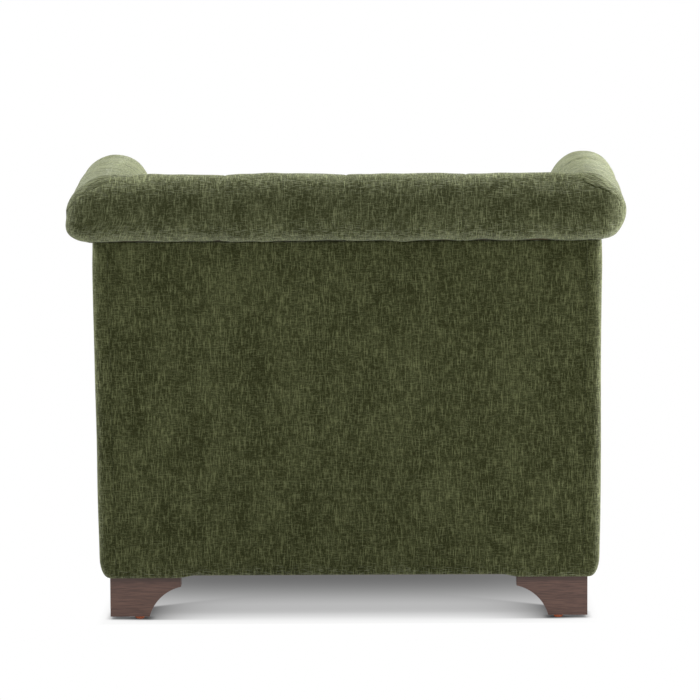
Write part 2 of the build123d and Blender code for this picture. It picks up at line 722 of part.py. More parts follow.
def cushion_outline(height, inset):
    """Rounded outline of the cushion at one height, with sides that bow in between the corners."""
    half_x, half_y = CUSHION_X - inset, CUSHION_Y - inset
    corner = CUSHION_CORNER
    turn = corner * (1 - cos(pi / 4))
    with BuildSketch(Plane.XY.offset(height)) as outline:
        with BuildLine():
            for x, y in ((1, 1), (-1, 1), (-1, -1), (1, -1)):
                along = (x * half_x, CUSHION_MIDDLE + y * (half_y - corner))
                across = (x * (half_x - corner), CUSHION_MIDDLE + y * half_y)
                bend = (x * (half_x - turn), CUSHION_MIDDLE + y * (half_y - turn))
                ThreePointArc(along, bend, across)
            for sign in (1, -1):
                low, high = CUSHION_MIDDLE - half_y + corner, CUSHION_MIDDLE + half_y - corner
                side_x, end_y = sign * half_x, CUSHION_MIDDLE + sign * half_y
                ThreePointArc(
                    (side_x, low), (side_x - sign * CUSHION_BOW, CUSHION_MIDDLE), (side_x, high)
                )
                ThreePointArc(
                    (corner - half_x, end_y),
                    (0, end_y - sign * CUSHION_BOW),
                    (half_x - corner, end_y),
                )
        make_face()
    return outline.sketch


def cushion_body(skin):
    """The crowned cushion, its skin taken off all round."""
    with BuildPart() as body:
        heights = (DECK_TOP, WAIST_Z, CUSHION_TOP)
        insets = (CUSHION_DRAW, 0, CUSHION_DRAW)
        loft(sections=[cushion_outline(z, inset + skin) for z, inset in zip(heights, insets)])
        split(bisect_by=Plane.XY.offset(DECK_TOP + skin), keep=Keep.TOP)
        with Locations((0, CUSHION_MIDDLE, CUSHION_TOP - CROWN_RADIUS)):
            Sphere(CROWN_RADIUS - skin, mode=Mode.INTERSECT)
    return body.part


def zip_slot(play):
    """The slot along the back of the cushion's border that the zip closes."""
    with BuildPart() as slot:
        with BuildSketch(Plane.XZ.offset(-CUSHION_MIDDLE)):
            with Locations((0, WAIST_Z)):
                Rectangle(ZIP_LENGTH + play, ZIP_WIDTH + play)
        extrude(amount=-DEPTH)
    return slot.part


with BuildPart() as cushion_cover:
    add(cushion_body(0))
    add(cushion_body(CUSHION_COVER), mode=Mode.SUBTRACT)
    add(zip_slot(ZIP_PLAY), mode=Mode.SUBTRACT)
save(cushion_cover.part, "cushion_cover")

with BuildPart() as cushion_zip:
    add(cushion_body(0))
    add(cushion_body(CUSHION_COVER), mode=Mode.SUBTRACT)
    add(zip_slot(0), mode=Mode.INTERSECT)
save(cushion_zip.part, "cushion_zip")

with BuildPart() as cushion_core:
    add(cushion_body(CUSHION_COVER + SOFT_GAP))
save(cushion_core.part, "cushion_core")

SLIDER_X = ZIP_LENGTH / 2 - SLIDER[0]
slider_y = CUSHION_REAR_Y + ZIP_PLAY
save(
    board(
        (SLIDER_X - SLIDER[0] / 2, SLIDER_X + SLIDER[0] / 2),
        (slider_y, slider_y + SLIDER[1]),
        (WAIST_Z - SLIDER[2] / 2, WAIST_Z + SLIDER[2] / 2),
    ),
    "zip_slider",
)


def foot_corner(side, end):
    """The outer corner of one foot, in plan."""
    return (side * FOOT_X, FOOT_REAR_Y if end > 0 else FOOT_FRONT_Y)


def foot_board(side, end, along_x):
    """One of a foot's two bracket boards, mitred at the corner, with a hollowed end."""
    x, y = foot_corner(side, end)
    inward = (-side, 0, 0) if along_x else (0, -end, 0)
    normal = (0, side, 0) if along_x else (-end, 0, 0)
    depth = -side * end * FOOT_BOARD if along_x else side * end * FOOT_BOARD
    toe, heel = (FOOT_SOLE, GLIDE_HEIGHT), (FOOT_LENGTH, BODY_BOTTOM - FOOT_END)
    run = Vector(*heel) - Vector(*toe)
    hollow = (Vector(*toe) + Vector(*heel)) / 2 + Vector(-run.Y, run.X) * (FOOT_COVE / run.length)
    shift = GLUE_LINE / 2 * (-1 if along_x else 1)
    mitre = Plane(origin=(x, y, 0), z_dir=(side, -end, 0)).offset(shift)
    with BuildPart() as piece:
        with BuildSketch(Plane(origin=(x, y, 0), x_dir=inward, z_dir=normal)):
            with BuildLine():
                ThreePointArc(toe, (hollow.X, hollow.Y), heel)
                Polyline(
                    heel,
                    (FOOT_LENGTH, BODY_BOTTOM),
                    (0, BODY_BOTTOM),
                    (0, GLIDE_HEIGHT),
                    toe,
                )
            make_face()
        extrude(amount=depth)
        split(bisect_by=mitre, keep=Keep.BOTTOM if along_x else Keep.TOP)
        if along_x:
            with BuildSketch(Plane.XY.offset(GLIDE_HEIGHT)):
                with Locations(glide_place(side, end)):
                    Circle(GLIDE_PIN + SCREW_PLAY)
            extrude(amount=GLIDE_PIN_LENGTH + SEAM_GAP, mode=Mode.SUBTRACT)
    return piece.part


def glide_place(side, end):
    """Where a glide is driven into the sole of a foot, in plan."""
    x, y = foot_corner(side, end)
    return (x - side * GLIDE_OFFSET, y - end * FOOT_BOARD / 2)


def block_place(side, end):
    """Centre of the glue block behind a foot's two boards, in plan."""
    x, y = foot_corner(side, end)
    reach = FOOT_BOARD + GLUE_BLOCK / 2
    return (x - side * reach, y - end * reach)


FEET = [
    (f"{end_name}_{side_name}", side, end)
    for end_name, end in ENDS.items()
    for side_name, side in SIDES.items()
]

for name, side, end in FEET:
    with BuildPart() as foot:
        add(foot_board(side, end, True))
        add(foot_board(side, end, False))
    save(foot.part, f"{name}_foot")

with BuildPart() as glide:
    with BuildSketch(Plane.XZ):
        with BuildLine():
            Polyline(
                (GLIDE_RADIUS, GLIDE_HEIGHT),
                (GLIDE_PIN, GLIDE_HEIGHT),
                (GLIDE_PIN, GLIDE_HEIGHT + GLIDE_PIN_LENGTH),
                (0, GLIDE_HEIGHT + GLIDE_PIN_LENGTH),
                (0, 0),
                (GLIDE_SOLE, 0),
            )
            RadiusArc((GLIDE_SOLE, 0), (GLIDE_RADIUS, GLIDE_HEIGHT), -2 * GLIDE_HEIGHT)
        make_face()
    revolve(axis=Axis.Z)

BLOCK_BOTTOM = GLIDE_HEIGHT + GLUE_BLOCK_LIFT
with BuildPart() as foot_screw:
    with BuildSketch(Plane.XY.offset(BLOCK_BOTTOM)):
        Circle(SCREW_HEAD)
    extrude(amount=SCREW_HEAD / 2)
    with BuildSketch(Plane.XY.offset(BLOCK_BOTTOM)):
        Circle(SCREW_RADIUS)
    extrude(amount=BODY_BOTTOM + SCREW_BITE - BLOCK_BOTTOM)

with BuildPart() as foot_glides:
    for _, side, end in FEET:
        add(glide.part.moved(Location((*glide_place(side, end), 0))))
save(foot_glides.part, "foot_glides")

with BuildPart() as foot_screws:
    for _, side, end in FEET:
        add(foot_screw.part.moved(Location((*block_place(side, end), 0))))
save(foot_screws.part, "foot_screws")

block_places = [block_place(side, end) for _, side, end in FEET]
with BuildPart() as foot_blocks:
    with BuildSketch(Plane.XY.offset(BLOCK_BOTTOM)):
        with Locations(*block_places):
            Rectangle(GLUE_BLOCK, GLUE_BLOCK)
    extrude(amount=BODY_BOTTOM - BLOCK_BOTTOM)
    with BuildSketch(Plane.XY.offset(BLOCK_BOTTOM)):
        with Locations(*block_places):
            Circle(SCREW_RADIUS + SCREW_PLAY)
    extrude(amount=BODY_BOTTOM - BLOCK_BOTTOM, mode=Mode.SUBTRACT)
    with BuildSketch(Plane.XY.offset(BLOCK_BOTTOM)):
        with Locations(*block_places):
            Circle(SCREW_HEAD + SCREW_PLAY)
    extrude(amount=SCREW_HEAD / 2, mode=Mode.SUBTRACT)
save(foot_blocks.part, "foot_blocks")

with BuildPart() as corner_blocks:
    with BuildSketch(Plane.XY.offset(BODY_BOTTOM)):
        for _, side, end in FEET:
            y = INNER_REAR_Y if end > 0 else INNER_FRONT_Y
            with BuildLine():
                Polyline(
                    (side * INNER_X, y),
                    (side * (INNER_X - CORNER_BLOCK_LEG), y),
                    (side * INNER_X, y - end * CORNER_BLOCK_LEG),
                    close=True,
                )
            make_face()
    extrude(amount=CORNER_BLOCK_HEIGHT)
    with BuildSketch(Plane.XY.offset(BODY_BOTTOM)):
        with Locations(*block_places):
            Circle(SCREW_RADIUS + SCREW_PLAY)
    extrude(amount=SCREW_BITE + SEAM_GAP, mode=Mode.SUBTRACT)
save(corner_blocks.part, "corner_blocks")

DUST_MARGIN = 8.0
dust_y = (FRAME_FRONT_Y + DUST_MARGIN, FRAME_REAR_Y - DUST_MARGIN)
with BuildPart() as dust_cover:
    with BuildSketch(Plane.XY.offset(BODY_BOTTOM - DUST_COVER)):
        with Locations((0, sum(dust_y) / 2)):
            Rectangle(2 * (FRAME_X - DUST_MARGIN), dust_y[1] - dust_y[0])
        for _, side, end in FEET:
            x, y = foot_corner(side, end)
            block_reach = FOOT_BOARD + GLUE_BLOCK
            for long_x, long_y in (
                (FOOT_LENGTH, FOOT_BOARD),
                (FOOT_BOARD, FOOT_LENGTH),
                (block_reach, block_reach),
            ):
                with Locations((x, y)):
                    Rectangle(
                        2 * (long_x + DUST_CLEARANCE),
                        2 * (long_y + DUST_CLEARANCE),
                        mode=Mode.SUBTRACT,
                    )
    extrude(amount=DUST_COVER)
save(dust_cover.part, "dust_cover")
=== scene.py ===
# %% [markdown]
# # A rolled-arm occasional chair, dressed
# The frame, foam, springs and feet come from the CAD model. This lesson adds what a CAD solid
# can't show: cloth that is pulled down by buttons, folded at the corners and tacked under rails,
# a stuffed cushion, and finishes made of nodes. Everything is in metres. The seat faces -Y, the
# sitter's left is +X, and the floor is z = 0.

# %% Load the frame
import json

import bmesh
import bpy
import numpy as np
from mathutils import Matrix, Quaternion, Vector


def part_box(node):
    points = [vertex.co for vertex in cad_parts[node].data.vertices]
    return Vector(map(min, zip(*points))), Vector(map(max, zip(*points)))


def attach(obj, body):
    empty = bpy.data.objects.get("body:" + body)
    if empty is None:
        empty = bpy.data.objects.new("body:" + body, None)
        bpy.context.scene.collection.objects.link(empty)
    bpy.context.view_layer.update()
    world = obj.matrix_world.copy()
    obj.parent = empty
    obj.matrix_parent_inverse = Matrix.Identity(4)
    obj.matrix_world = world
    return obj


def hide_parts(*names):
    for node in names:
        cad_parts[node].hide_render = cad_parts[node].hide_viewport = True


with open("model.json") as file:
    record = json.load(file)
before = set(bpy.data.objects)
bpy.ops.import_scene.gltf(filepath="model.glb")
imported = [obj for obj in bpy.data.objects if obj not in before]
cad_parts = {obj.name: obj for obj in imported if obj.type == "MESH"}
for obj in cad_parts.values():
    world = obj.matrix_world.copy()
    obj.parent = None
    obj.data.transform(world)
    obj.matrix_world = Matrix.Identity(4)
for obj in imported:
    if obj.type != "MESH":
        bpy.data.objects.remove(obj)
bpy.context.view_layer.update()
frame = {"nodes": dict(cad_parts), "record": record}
scene = bpy.context.scene

# %% [markdown]
# ## One cross-section for the back and both arms
# An upholsterer thinks of the back and the arms as one shape that goes round three sides: an
# inside face that leans outwards, then a roll. So the lesson starts with that section. An inset
# is measured inwards from the outermost line of the rolls. The arm rolls grow and splay towards
# the front, so the roll is given as three numbers that change along the arm.

# %% Sizes shared by the covers
REAR_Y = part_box("back_cover")[1].y
BACK_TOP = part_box("back_cover")[1].z
HALF_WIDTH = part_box("back_cover")[1].x
FRONT_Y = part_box("left_arm_facing")[0].y
FACING_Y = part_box("left_arm_facing")[1].y
PAD_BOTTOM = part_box("back_cover")[0].z
BODY_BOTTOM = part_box("outside_back")[0].z
ROLL_RADIUS = 0.059
SCROLL_RADIUS = 0.067
SCROLL_SPLAY = 0.0265
SCROLL_DROP = 0.002
PAD_INSET = 0.1825
BEND_Z = 0.450
FRAME_INSET = 0.063
TUCK_RISE = 0.012
BEND_SPAN = (0.85, 1.15)
COVER_WALL, FACING_WALL, DUST_WALL = 0.003, 0.002, 0.0008
SIDES = {"left": 1, "right": -1}
ROLL_Z = BACK_TOP - ROLL_RADIUS
FLARE_Y = REAR_Y - PAD_INSET
REAR_ROLL = (ROLL_RADIUS, ROLL_Z, ROLL_RADIUS)
print("rear roll:", [round(v, 4) for v in REAR_ROLL], "flare starts at y", round(FLARE_Y, 4))


# %% Section helpers
def ease(low, high, value):
    """Smooth step: 0 up to low, 1 from high on, and an S-curve between them."""
    share = np.clip((value - low) / (high - low), 0, 1)
    return share * share * (3 - 2 * share)


def roll_along(y):
    """Inset, height and radius of an arm's roll: straight-line change from the flare to the front."""
    share = np.clip((FLARE_Y - y) / (FLARE_Y - FACING_Y), 0, 1)
    return (
        ROLL_RADIUS - share * SCROLL_SPLAY,
        ROLL_Z - share * SCROLL_DROP,
        ROLL_RADIUS + share * (SCROLL_RADIUS - ROLL_RADIUS),
    )


def section(w, roll):
    """Section of a buttoned cover: inset, height, the two parts of its outward normal, the drop
    down the lean (negative on the roll) and the angle round the roll's axis.

    w from 0 to 1 climbs the upright behind the seat, 1 to 2 the lean up to where a straight line
    from the bend touches the roll's circle, 2 to 3 goes round that circle to the frame, and 3 to
    4 turns up behind it.
    """
    inset, height, radius = roll
    across, rise = PAD_INSET - inset, BEND_Z - height
    touch = np.arctan2(rise, across) + np.arccos(radius / np.hypot(across, rise))
    tuck = 2 * np.pi - np.arccos((FRAME_INSET - inset) / radius)
    wall, lean, turn, end = (np.clip(w - start, 0, 1) for start in range(4))
    angle = touch + (tuck - touch) * turn
    touch_t, touch_z = inset + radius * np.cos(touch), height + radius * np.sin(touch)
    length = np.hypot(PAD_INSET - touch_t, touch_z - BEND_Z)
    on_roll = w > 2
    t = np.where(on_roll, inset + radius * np.cos(angle), PAD_INSET + (touch_t - PAD_INSET) * lean)
    z = np.where(
        on_roll,
        height + radius * np.sin(angle) + end * TUCK_RISE,
        PAD_BOTTOM + (BEND_Z - PAD_BOTTOM) * wall + (touch_z - BEND_Z) * lean,
    )
    facing = np.where(on_roll, angle, touch * ease(*BEND_SPAN, w))
    drop = length * (1 - lean) + (BEND_Z - PAD_BOTTOM) * (1 - wall) - radius * (angle - touch)
    return t, z, np.cos(facing), np.sin(facing), drop, np.degrees(angle)


test_t, test_z = section(np.array([0.0, 1.0, 2.0, 3.0]), REAR_ROLL)[:2]
print("section corners:", np.round(np.stack([test_t, test_z], 1), 4).tolist())

# %% [markdown]
# ## Turning a grid of points into a piece
# Every cloth here is a rectangular grid of points that numpy works out in one go. A mesh takes
# such arrays whole through foreach_set, which is far quicker than adding faces one at a time.
# A second array gives each point its place on the flat cloth, in metres, as a UV map, so that
# the weave follows the cloth round a roll instead of being projected through it.


# %% Mesh helpers
def grid_piece(name, points, cloth, flip=False, ring=False):
    """A smooth piece from a rows-by-columns grid: one quad between each four neighbours."""
    rows, columns = points.shape[:2]
    index = np.arange(rows * columns).reshape(rows, columns)
    if ring:
        index = np.concatenate([index, index[:, :1]], axis=1)
    quads = np.stack([index[:-1, :-1], index[:-1, 1:], index[1:, 1:], index[1:, :-1]], axis=-1)
    quads = quads.reshape(-1, 4)
    quads = quads[:, ::-1] if flip else quads
    mesh = bpy.data.meshes.new(name)
    mesh.vertices.add(rows * columns)
    mesh.vertices.foreach_set("co", points.astype(np.float32).ravel())
    mesh.loops.add(quads.size)
    mesh.loops.foreach_set("vertex_index", quads.astype(np.int32).ravel())
    mesh.polygons.add(len(quads))
    mesh.polygons.foreach_set("loop_start", np.arange(0, quads.size, 4, dtype=np.int32))
    mesh.polygons.foreach_set("use_smooth", np.ones(len(quads), dtype=bool))
    mesh.update(calc_edges=True)
    layer = mesh.uv_layers.new(name="cloth")
    layer.uv.foreach_set("vector", cloth.reshape(-1, 2)[quads.ravel()].astype(np.float32).ravel())
    piece = bpy.data.objects.new(name, mesh)
    scene.collection.objects.link(piece)
    return piece


def close_ends(piece):
    """Fill the two small openings that a ring grid leaves at its poles."""
    mesh = bmesh.new()
    mesh.from_mesh(piece.data)
    bmesh.ops.holes_fill(mesh, edges=mesh.edges[:], sides=0)
    bmesh.ops.recalc_face_normals(mesh, faces=mesh.faces[:])
    mesh.to_mesh(piece.data)
    mesh.free()


def dress(piece, body, material, nodes, thickness=0.0):
    """Give a piece its finish, its cloth thickness, the body it rides on and the nodes it stands for."""
    piece.data.materials.clear()
    piece.data.materials.append(material)
    if thickness:
        wall = piece.modifiers.new("cloth thickness", "SOLIDIFY")
        wall.thickness = thickness
        wall.offset = -1
    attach(piece, body)
    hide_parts(*nodes)
    print(f"{piece.name}: {len(piece.data.polygons)} faces, stands for {', '.join(nodes)}")
    return piece


# %% Soft irregularity
draw = np.random.default_rng(11)
WAVE_RANGE = (0.6, 1.7)


def ripple(u, v, length, height, waves=7):
    """Gentle unevenness: a sum of sine waves with seeded directions, lengths and phases."""
    total = np.zeros(np.broadcast(u, v).shape)
    for _ in range(waves):
        heading, phase = draw.uniform(0, 2 * np.pi, 2)
        size = 2 * np.pi / (length * draw.uniform(*WAVE_RANGE))
        total += np.sin(size * (u * np.cos(heading) + v * np.sin(heading)) + phase)
    return height * total * np.sqrt(2 / waves)


print("ripples: waves from", WAVE_RANGE[0], "to", WAVE_RANGE[1], "times the length asked for")

# %% [markdown]
# ## Finishes: the olive chenille
# The cloth is a slubbed chenille. Thick yarns run up and down, others cross them, each swells and
# thins along its length, and the pile lies in patches that look darker or lighter. Noise alone
# gives soft streaks, so a node group cuts the cloth into strips one yarn wide and gives each its
# own line of noise: slubs then start and stop at yarn edges, as in a real weave. Each slub is
# painted darker towards its yarn's edges, as shade between round yarns. Pile shows a light rim at
# a grazing angle. Part of it is the shader's own sheen, and part is painted sheen: the colour
# gets paler where the cloth turns away, so the rim is right from every side. The back and arm
# covers take a lighter copy of the cloth, painted light that stands for their brighter pile.


# %% Node helpers
def add_node(tree, kind, place, **values):
    """A node with its place in the editor, its settings and its unlinked input values."""
    node = tree.nodes.new(kind)
    node.location = place
    for key, value in values.items():
        if key in node.inputs:
            node.inputs[key].default_value = value
        else:
            setattr(node, key, value)
    return node


def group_of(name, inputs, outputs):
    """An empty shader group with named sockets; each is (name, socket type, default or None)."""
    tree = bpy.data.node_groups.new(name, "ShaderNodeTree")
    for direction, sockets in (("INPUT", inputs), ("OUTPUT", outputs)):
        for label, kind, default in sockets:
            socket = tree.interface.new_socket(label, in_out=direction, socket_type=kind)
            if default is not None:
                socket.default_value = default
    start = add_node(tree, "NodeGroupInput", (-1400, 0))
    end = add_node(tree, "NodeGroupOutput", (900, 0))
    return tree, start, end


def calc(tree, operation, place, first, second=None, third=None, clamp=False):
    """A Math node on sockets or plain numbers."""
    node = add_node(tree, "ShaderNodeMath", place, operation=operation, use_clamp=clamp)
    for slot_number, value in enumerate((first, second, third)):
        if isinstance(value, bpy.types.NodeSocket):
            tree.links.new(value, node.inputs[slot_number])
        elif value is not None:
            node.inputs[slot_number].default_value = value
    return node.outputs[0]


def stretched_noise(tree, vector, stretch, place, detail=2.0, roughness=0.5):
    """Noise whose grains are drawn out: the place is multiplied by stretch before the noise reads it."""
    scaled = add_node(tree, "ShaderNodeVectorMath", place, operation="MULTIPLY")
    tree.links.new(vector, scaled.inputs[0])
    scaled.inputs[1].default_value = stretch
    noise = add_node(
        tree, "ShaderNodeTexNoise", (place[0] + 180, place[1]),
        Scale=1.0, Detail=detail, Roughness=roughness,
    )
    tree.links.new(scaled.outputs[0], noise.inputs["Vector"])
    return noise.outputs["Fac"]


def spread(tree, value, low, high, place, new_low=0.0, new_high=1.0):
    """Stretch the part of a value between low and high over a new range."""
    node = add_node(tree, "ShaderNodeMapRange", place, interpolation_type="SMOOTHSTEP")
    tree.links.new(value, node.inputs["Value"])
    for label, number in zip(("From Min", "From Max", "To Min", "To Max"), (low, high, new_low, new_high)):
        node.inputs[label].default_value = number
    return node.outputs["Result"]


def blend_colour(tree, factor, first, second, place):
    """A colour between two, which are sockets or plain colours."""
    node = add_node(tree, "ShaderNodeMix", place, data_type="RGBA")
    tree.links.new(factor, node.inputs[0])
    for socket, value in ((node.inputs[6], first), (node.inputs[7], second)):
        if isinstance(value, bpy.types.NodeSocket):
            tree.links.new(value, socket)
        else:
            socket.default_value = value
    return node.outputs[2]


def srgb(red, green, blue):
    """A colour given as 0 to 255 in sRGB, as the linear values that nodes hold."""
    share = np.array([red, green, blue]) / 255
    linear = np.where(share <= 0.04045, share / 12.92, ((share + 0.055) / 1.055) ** 2.4)
    return (*linear.tolist(), 1.0)


print("mid grey in nodes:", round(srgb(128, 128, 128)[0], 3))

# %% Slub weave group
YARN_PITCH, YARN_WANDER, YARN_NUMBER = 0.0013, 0.4, 3.71
UPRIGHT_SLUB, CROSSING_SLUB = 0.019, 0.014
WANDER_SCALE, PATCH_SCALE = (45, 45, 1), (15, 8, 1)
SLUB_RANGE, SPECK_RANGE = (0.43, 0.80), (0.42, 0.74)
UPRIGHT_SHARE, CROSSING_SHARE, SPECK_SHARE, GROUND_SHARE = 0.90, 0.56, 0.40, 0.06
UPRIGHT_RELIEF, CROSSING_RELIEF, BACK_RELIEF = 0.5, 1.3, 0.25
YARN_BACK_LIGHT, YARN_EDGE_SHADE = 0.6, 0.4
weave, weave_in, weave_out = group_of(
    "slub weave",
    [
        ("Cloth place", "NodeSocketVector", None),
        ("Ground", "NodeSocketColor", srgb(52, 55, 32)),
        ("Slub", "NodeSocketColor", srgb(108, 112, 82)),
        ("Patches", "NodeSocketFloat", 0.2),
    ],
    [("Colour", "NodeSocketColor", None), ("Height", "NodeSocketFloat", None)],
)
place = weave_in.outputs["Cloth place"]
axes = add_node(weave, "ShaderNodeSeparateXYZ", (-1200, 0))
weave.links.new(place, axes.inputs[0])
wander = stretched_noise(weave, place, WANDER_SCALE, (-1200, 700))
wander = calc(weave, "MULTIPLY", (-800, 700), wander, YARN_WANDER)


def yarn_set(across, along, pitch, length, spot):
    """One set of parallel yarns: where its slubs are, the yarns' round backs and their numbers.

    The place across is cut into strips one yarn wide. Each strip reads its own line of a noise
    that is drawn out along the yarn, so a slub starts and stops at a yarn's edges. A yarn's
    back is 4 f (1 - f), with f the share of the way across it. The slubs are painted darker
    towards a yarn's edges by its back, as painted shade between round yarns.
    """
    x, y = spot
    strip = calc(weave, "ADD", (x + 160, y), calc(weave, "DIVIDE", (x, y), across, pitch), wander)
    share = calc(weave, "FRACT", (x + 320, y - 160), strip)
    line = add_node(weave, "ShaderNodeCombineXYZ", (x + 640, y))
    number = calc(weave, "MULTIPLY", (x + 480, y), calc(weave, "FLOOR", (x + 320, y), strip), YARN_NUMBER)
    weave.links.new(number, line.inputs[0])
    weave.links.new(calc(weave, "DIVIDE", (x + 480, y - 80), along, length), line.inputs[1])
    slub = stretched_noise(weave, line.outputs[0], (1, 1, 1), (x + 800, y), detail=1.0)
    slub = spread(weave, slub, *SLUB_RANGE, (x + 1160, y))
    rest = calc(weave, "SUBTRACT", (x + 480, y - 240), 1.0, share)
    back = calc(weave, "MULTIPLY", (x + 640, y - 160), share, rest)
    back = calc(weave, "MULTIPLY", (x + 800, y - 160), back, 4.0)
    # Painted shade: the slub colour darkens towards the yarn's edges, where shade falls between round
    # yarns.
    painted_yarn_shade = calc(weave, "MULTIPLY_ADD", (x + 960, y - 200), back, YARN_BACK_LIGHT, YARN_EDGE_SHADE)
    return calc(weave, "MULTIPLY", (x + 1320, y), slub, painted_yarn_shade), back, number


upright, upright_back, upright_number = yarn_set(
    axes.outputs["X"], axes.outputs["Y"], YARN_PITCH, UPRIGHT_SLUB, (-1000, 400)
)
crossing, crossing_back, crossing_number = yarn_set(
    axes.outputs["Y"], axes.outputs["X"], YARN_PITCH, CROSSING_SLUB, (-1000, -100)
)
cell = add_node(weave, "ShaderNodeCombineXYZ", (-1200, -500))
weave.links.new(upright_number, cell.inputs[0])
weave.links.new(crossing_number, cell.inputs[1])
specks = stretched_noise(weave, cell.outputs[0], (1, 1, 1), (-1000, -500))
specks = spread(weave, specks, *SPECK_RANGE, (-600, -500))
patch = stretched_noise(weave, place, PATCH_SCALE, (-1000, -700), detail=3.0, roughness=0.6)
slubs = calc(weave, "MULTIPLY", (300, 200), crossing, CROSSING_SHARE)
slubs = calc(weave, "MULTIPLY_ADD", (460, 300), upright, UPRIGHT_SHARE, slubs)
slubs = calc(weave, "MULTIPLY_ADD", (460, 100), specks, SPECK_SHARE, slubs)
pile = calc(weave, "SUBTRACT", (140, -500), patch, 0.5)
pile = calc(weave, "MULTIPLY", (300, -500), pile, weave_in.outputs["Patches"])
shade = calc(weave, "ADD", (540, 260), slubs, pile)
tone = calc(weave, "SUBTRACT", (620, 260), shade, GROUND_SHARE, clamp=True)
weave.links.new(
    blend_colour(weave, tone, weave_in.outputs["Ground"], weave_in.outputs["Slub"], (760, 200)),
    weave_out.inputs["Colour"],
)
backs = calc(weave, "MAXIMUM", (620, -120), upright_back, crossing_back)
relief = calc(weave, "MULTIPLY", (460, -280), upright, UPRIGHT_RELIEF)
relief = calc(weave, "MULTIPLY_ADD", (620, -280), crossing, CROSSING_RELIEF, relief)
relief = calc(weave, "MULTIPLY_ADD", (760, -120), backs, BACK_RELIEF, relief)
weave.links.new(relief, weave_out.inputs["Height"])
print("weave group:", len(weave.nodes), "nodes")

# %% Cloth materials
RIM_POWER, RIM_LIMIT, RIM_GAIN = 2.4, 0.32, 3.4
WEAVE_BUMP, WEAVE_HEIGHT = 0.8, 0.0014
CLOTH_ROUGHNESS, CLOTH_SPECULAR, SHEEN_ROUGHNESS = 0.95, 0.15, 0.27


def plain_shader(name):
    """A new material with only a Principled shader and its output."""
    material = bpy.data.materials.new(name)
    material.use_nodes = True
    tree = material.node_tree
    tree.nodes.clear()
    shader = add_node(tree, "ShaderNodeBsdfPrincipled", (300, 0))
    output = add_node(tree, "ShaderNodeOutputMaterial", (600, 0))
    tree.links.new(shader.outputs[0], output.inputs["Surface"])
    return material, tree, shader


def chenille(name, source, ground, slub, patches=0.6, sheen=0.5):
    """The olive cloth, reading its place from the piece's own cloth map or from object coordinates."""
    material, tree, shader = plain_shader(name)
    if source == "cloth":
        reader = add_node(tree, "ShaderNodeUVMap", (-500, 0), uv_map="cloth").outputs["UV"]
    else:
        reader = add_node(tree, "ShaderNodeTexCoord", (-500, 0)).outputs["Object"]
    cloth = add_node(tree, "ShaderNodeGroup", (-250, 0), node_tree=weave)
    tree.links.new(reader, cloth.inputs["Cloth place"])
    cloth.inputs["Ground"].default_value = ground
    cloth.inputs["Slub"].default_value = slub
    cloth.inputs["Patches"].default_value = patches
    bump = add_node(tree, "ShaderNodeBump", (-60, -250), Strength=WEAVE_BUMP, Distance=WEAVE_HEIGHT)
    tree.links.new(cloth.outputs["Height"], bump.inputs["Height"])
    # Painted sheen: the weave colour is multiplied up towards RIM_GAIN where the cloth turns away from the
    # view, as a pile's rim catches light.
    rim = add_node(tree, "ShaderNodeLayerWeight", (-60, 250), Blend=0.5)
    painted_sheen_share = calc(tree, "POWER", (100, 250), rim.outputs["Facing"], RIM_POWER)
    painted_sheen_share = calc(tree, "MINIMUM", (150, 350), painted_sheen_share, RIM_LIMIT)
    pile = add_node(tree, "ShaderNodeMix", (200, 100), data_type="RGBA", blend_type="MULTIPLY")
    tree.links.new(painted_sheen_share, pile.inputs[0])
    tree.links.new(cloth.outputs["Colour"], pile.inputs[6])
    pile.inputs[7].default_value = (RIM_GAIN, RIM_GAIN, RIM_GAIN, 1.0)
    tree.links.new(pile.outputs[2], shader.inputs["Base Color"])
    tree.links.new(bump.outputs[0], shader.inputs["Normal"])
    shader.inputs["Roughness"].default_value = CLOTH_ROUGHNESS
    shader.inputs["Specular IOR Level"].default_value = CLOTH_SPECULAR
    shader.inputs["Sheen Weight"].default_value = sheen
    shader.inputs["Sheen Roughness"].default_value = SHEEN_ROUGHNESS
    shader.inputs["Sheen Tint"].default_value = srgb(240, 245, 226)
    return material


olive = chenille("olive chenille", "cloth", srgb(45, 48, 22), srgb(123, 128, 88))
# Lighter copies of the olive cloth for the back and arm covers and for the buttons on them: painted light,
# standing for the brighter pile there.
olive_painted_lighter = chenille("olive chenille, painted lighter for pile sheen", "cloth", srgb(50, 53, 27), srgb(130, 135, 98))
olive_button = chenille("olive chenille on buttons", "object", srgb(50, 53, 27), srgb(130, 135, 98))
deck_cloth = chenille(
    "plain deck cloth", "cloth", srgb(44, 46, 30), srgb(66, 69, 48), patches=0.2, sheen=0.3
)
print("cloth materials:", olive.name, olive_painted_lighter.name, olive_button.name, deck_cloth.name)

# %% [markdown]
# ## Deep buttoning as a height field
# Buttons pull the cloth down through the stuffing, and the spare cloth between two buttons lies
# in a fold. That makes a pattern of puffed diamonds. It could be sculpted, but a formula is
# cleaner: each point's distance to the nearest fold and the nearest button gives its height.
# Near a fold the cloth drops in a sharp crease, away from it the diamond swells, and a button
# makes a deep round hollow. Above the top row the folds run straight over the roll.

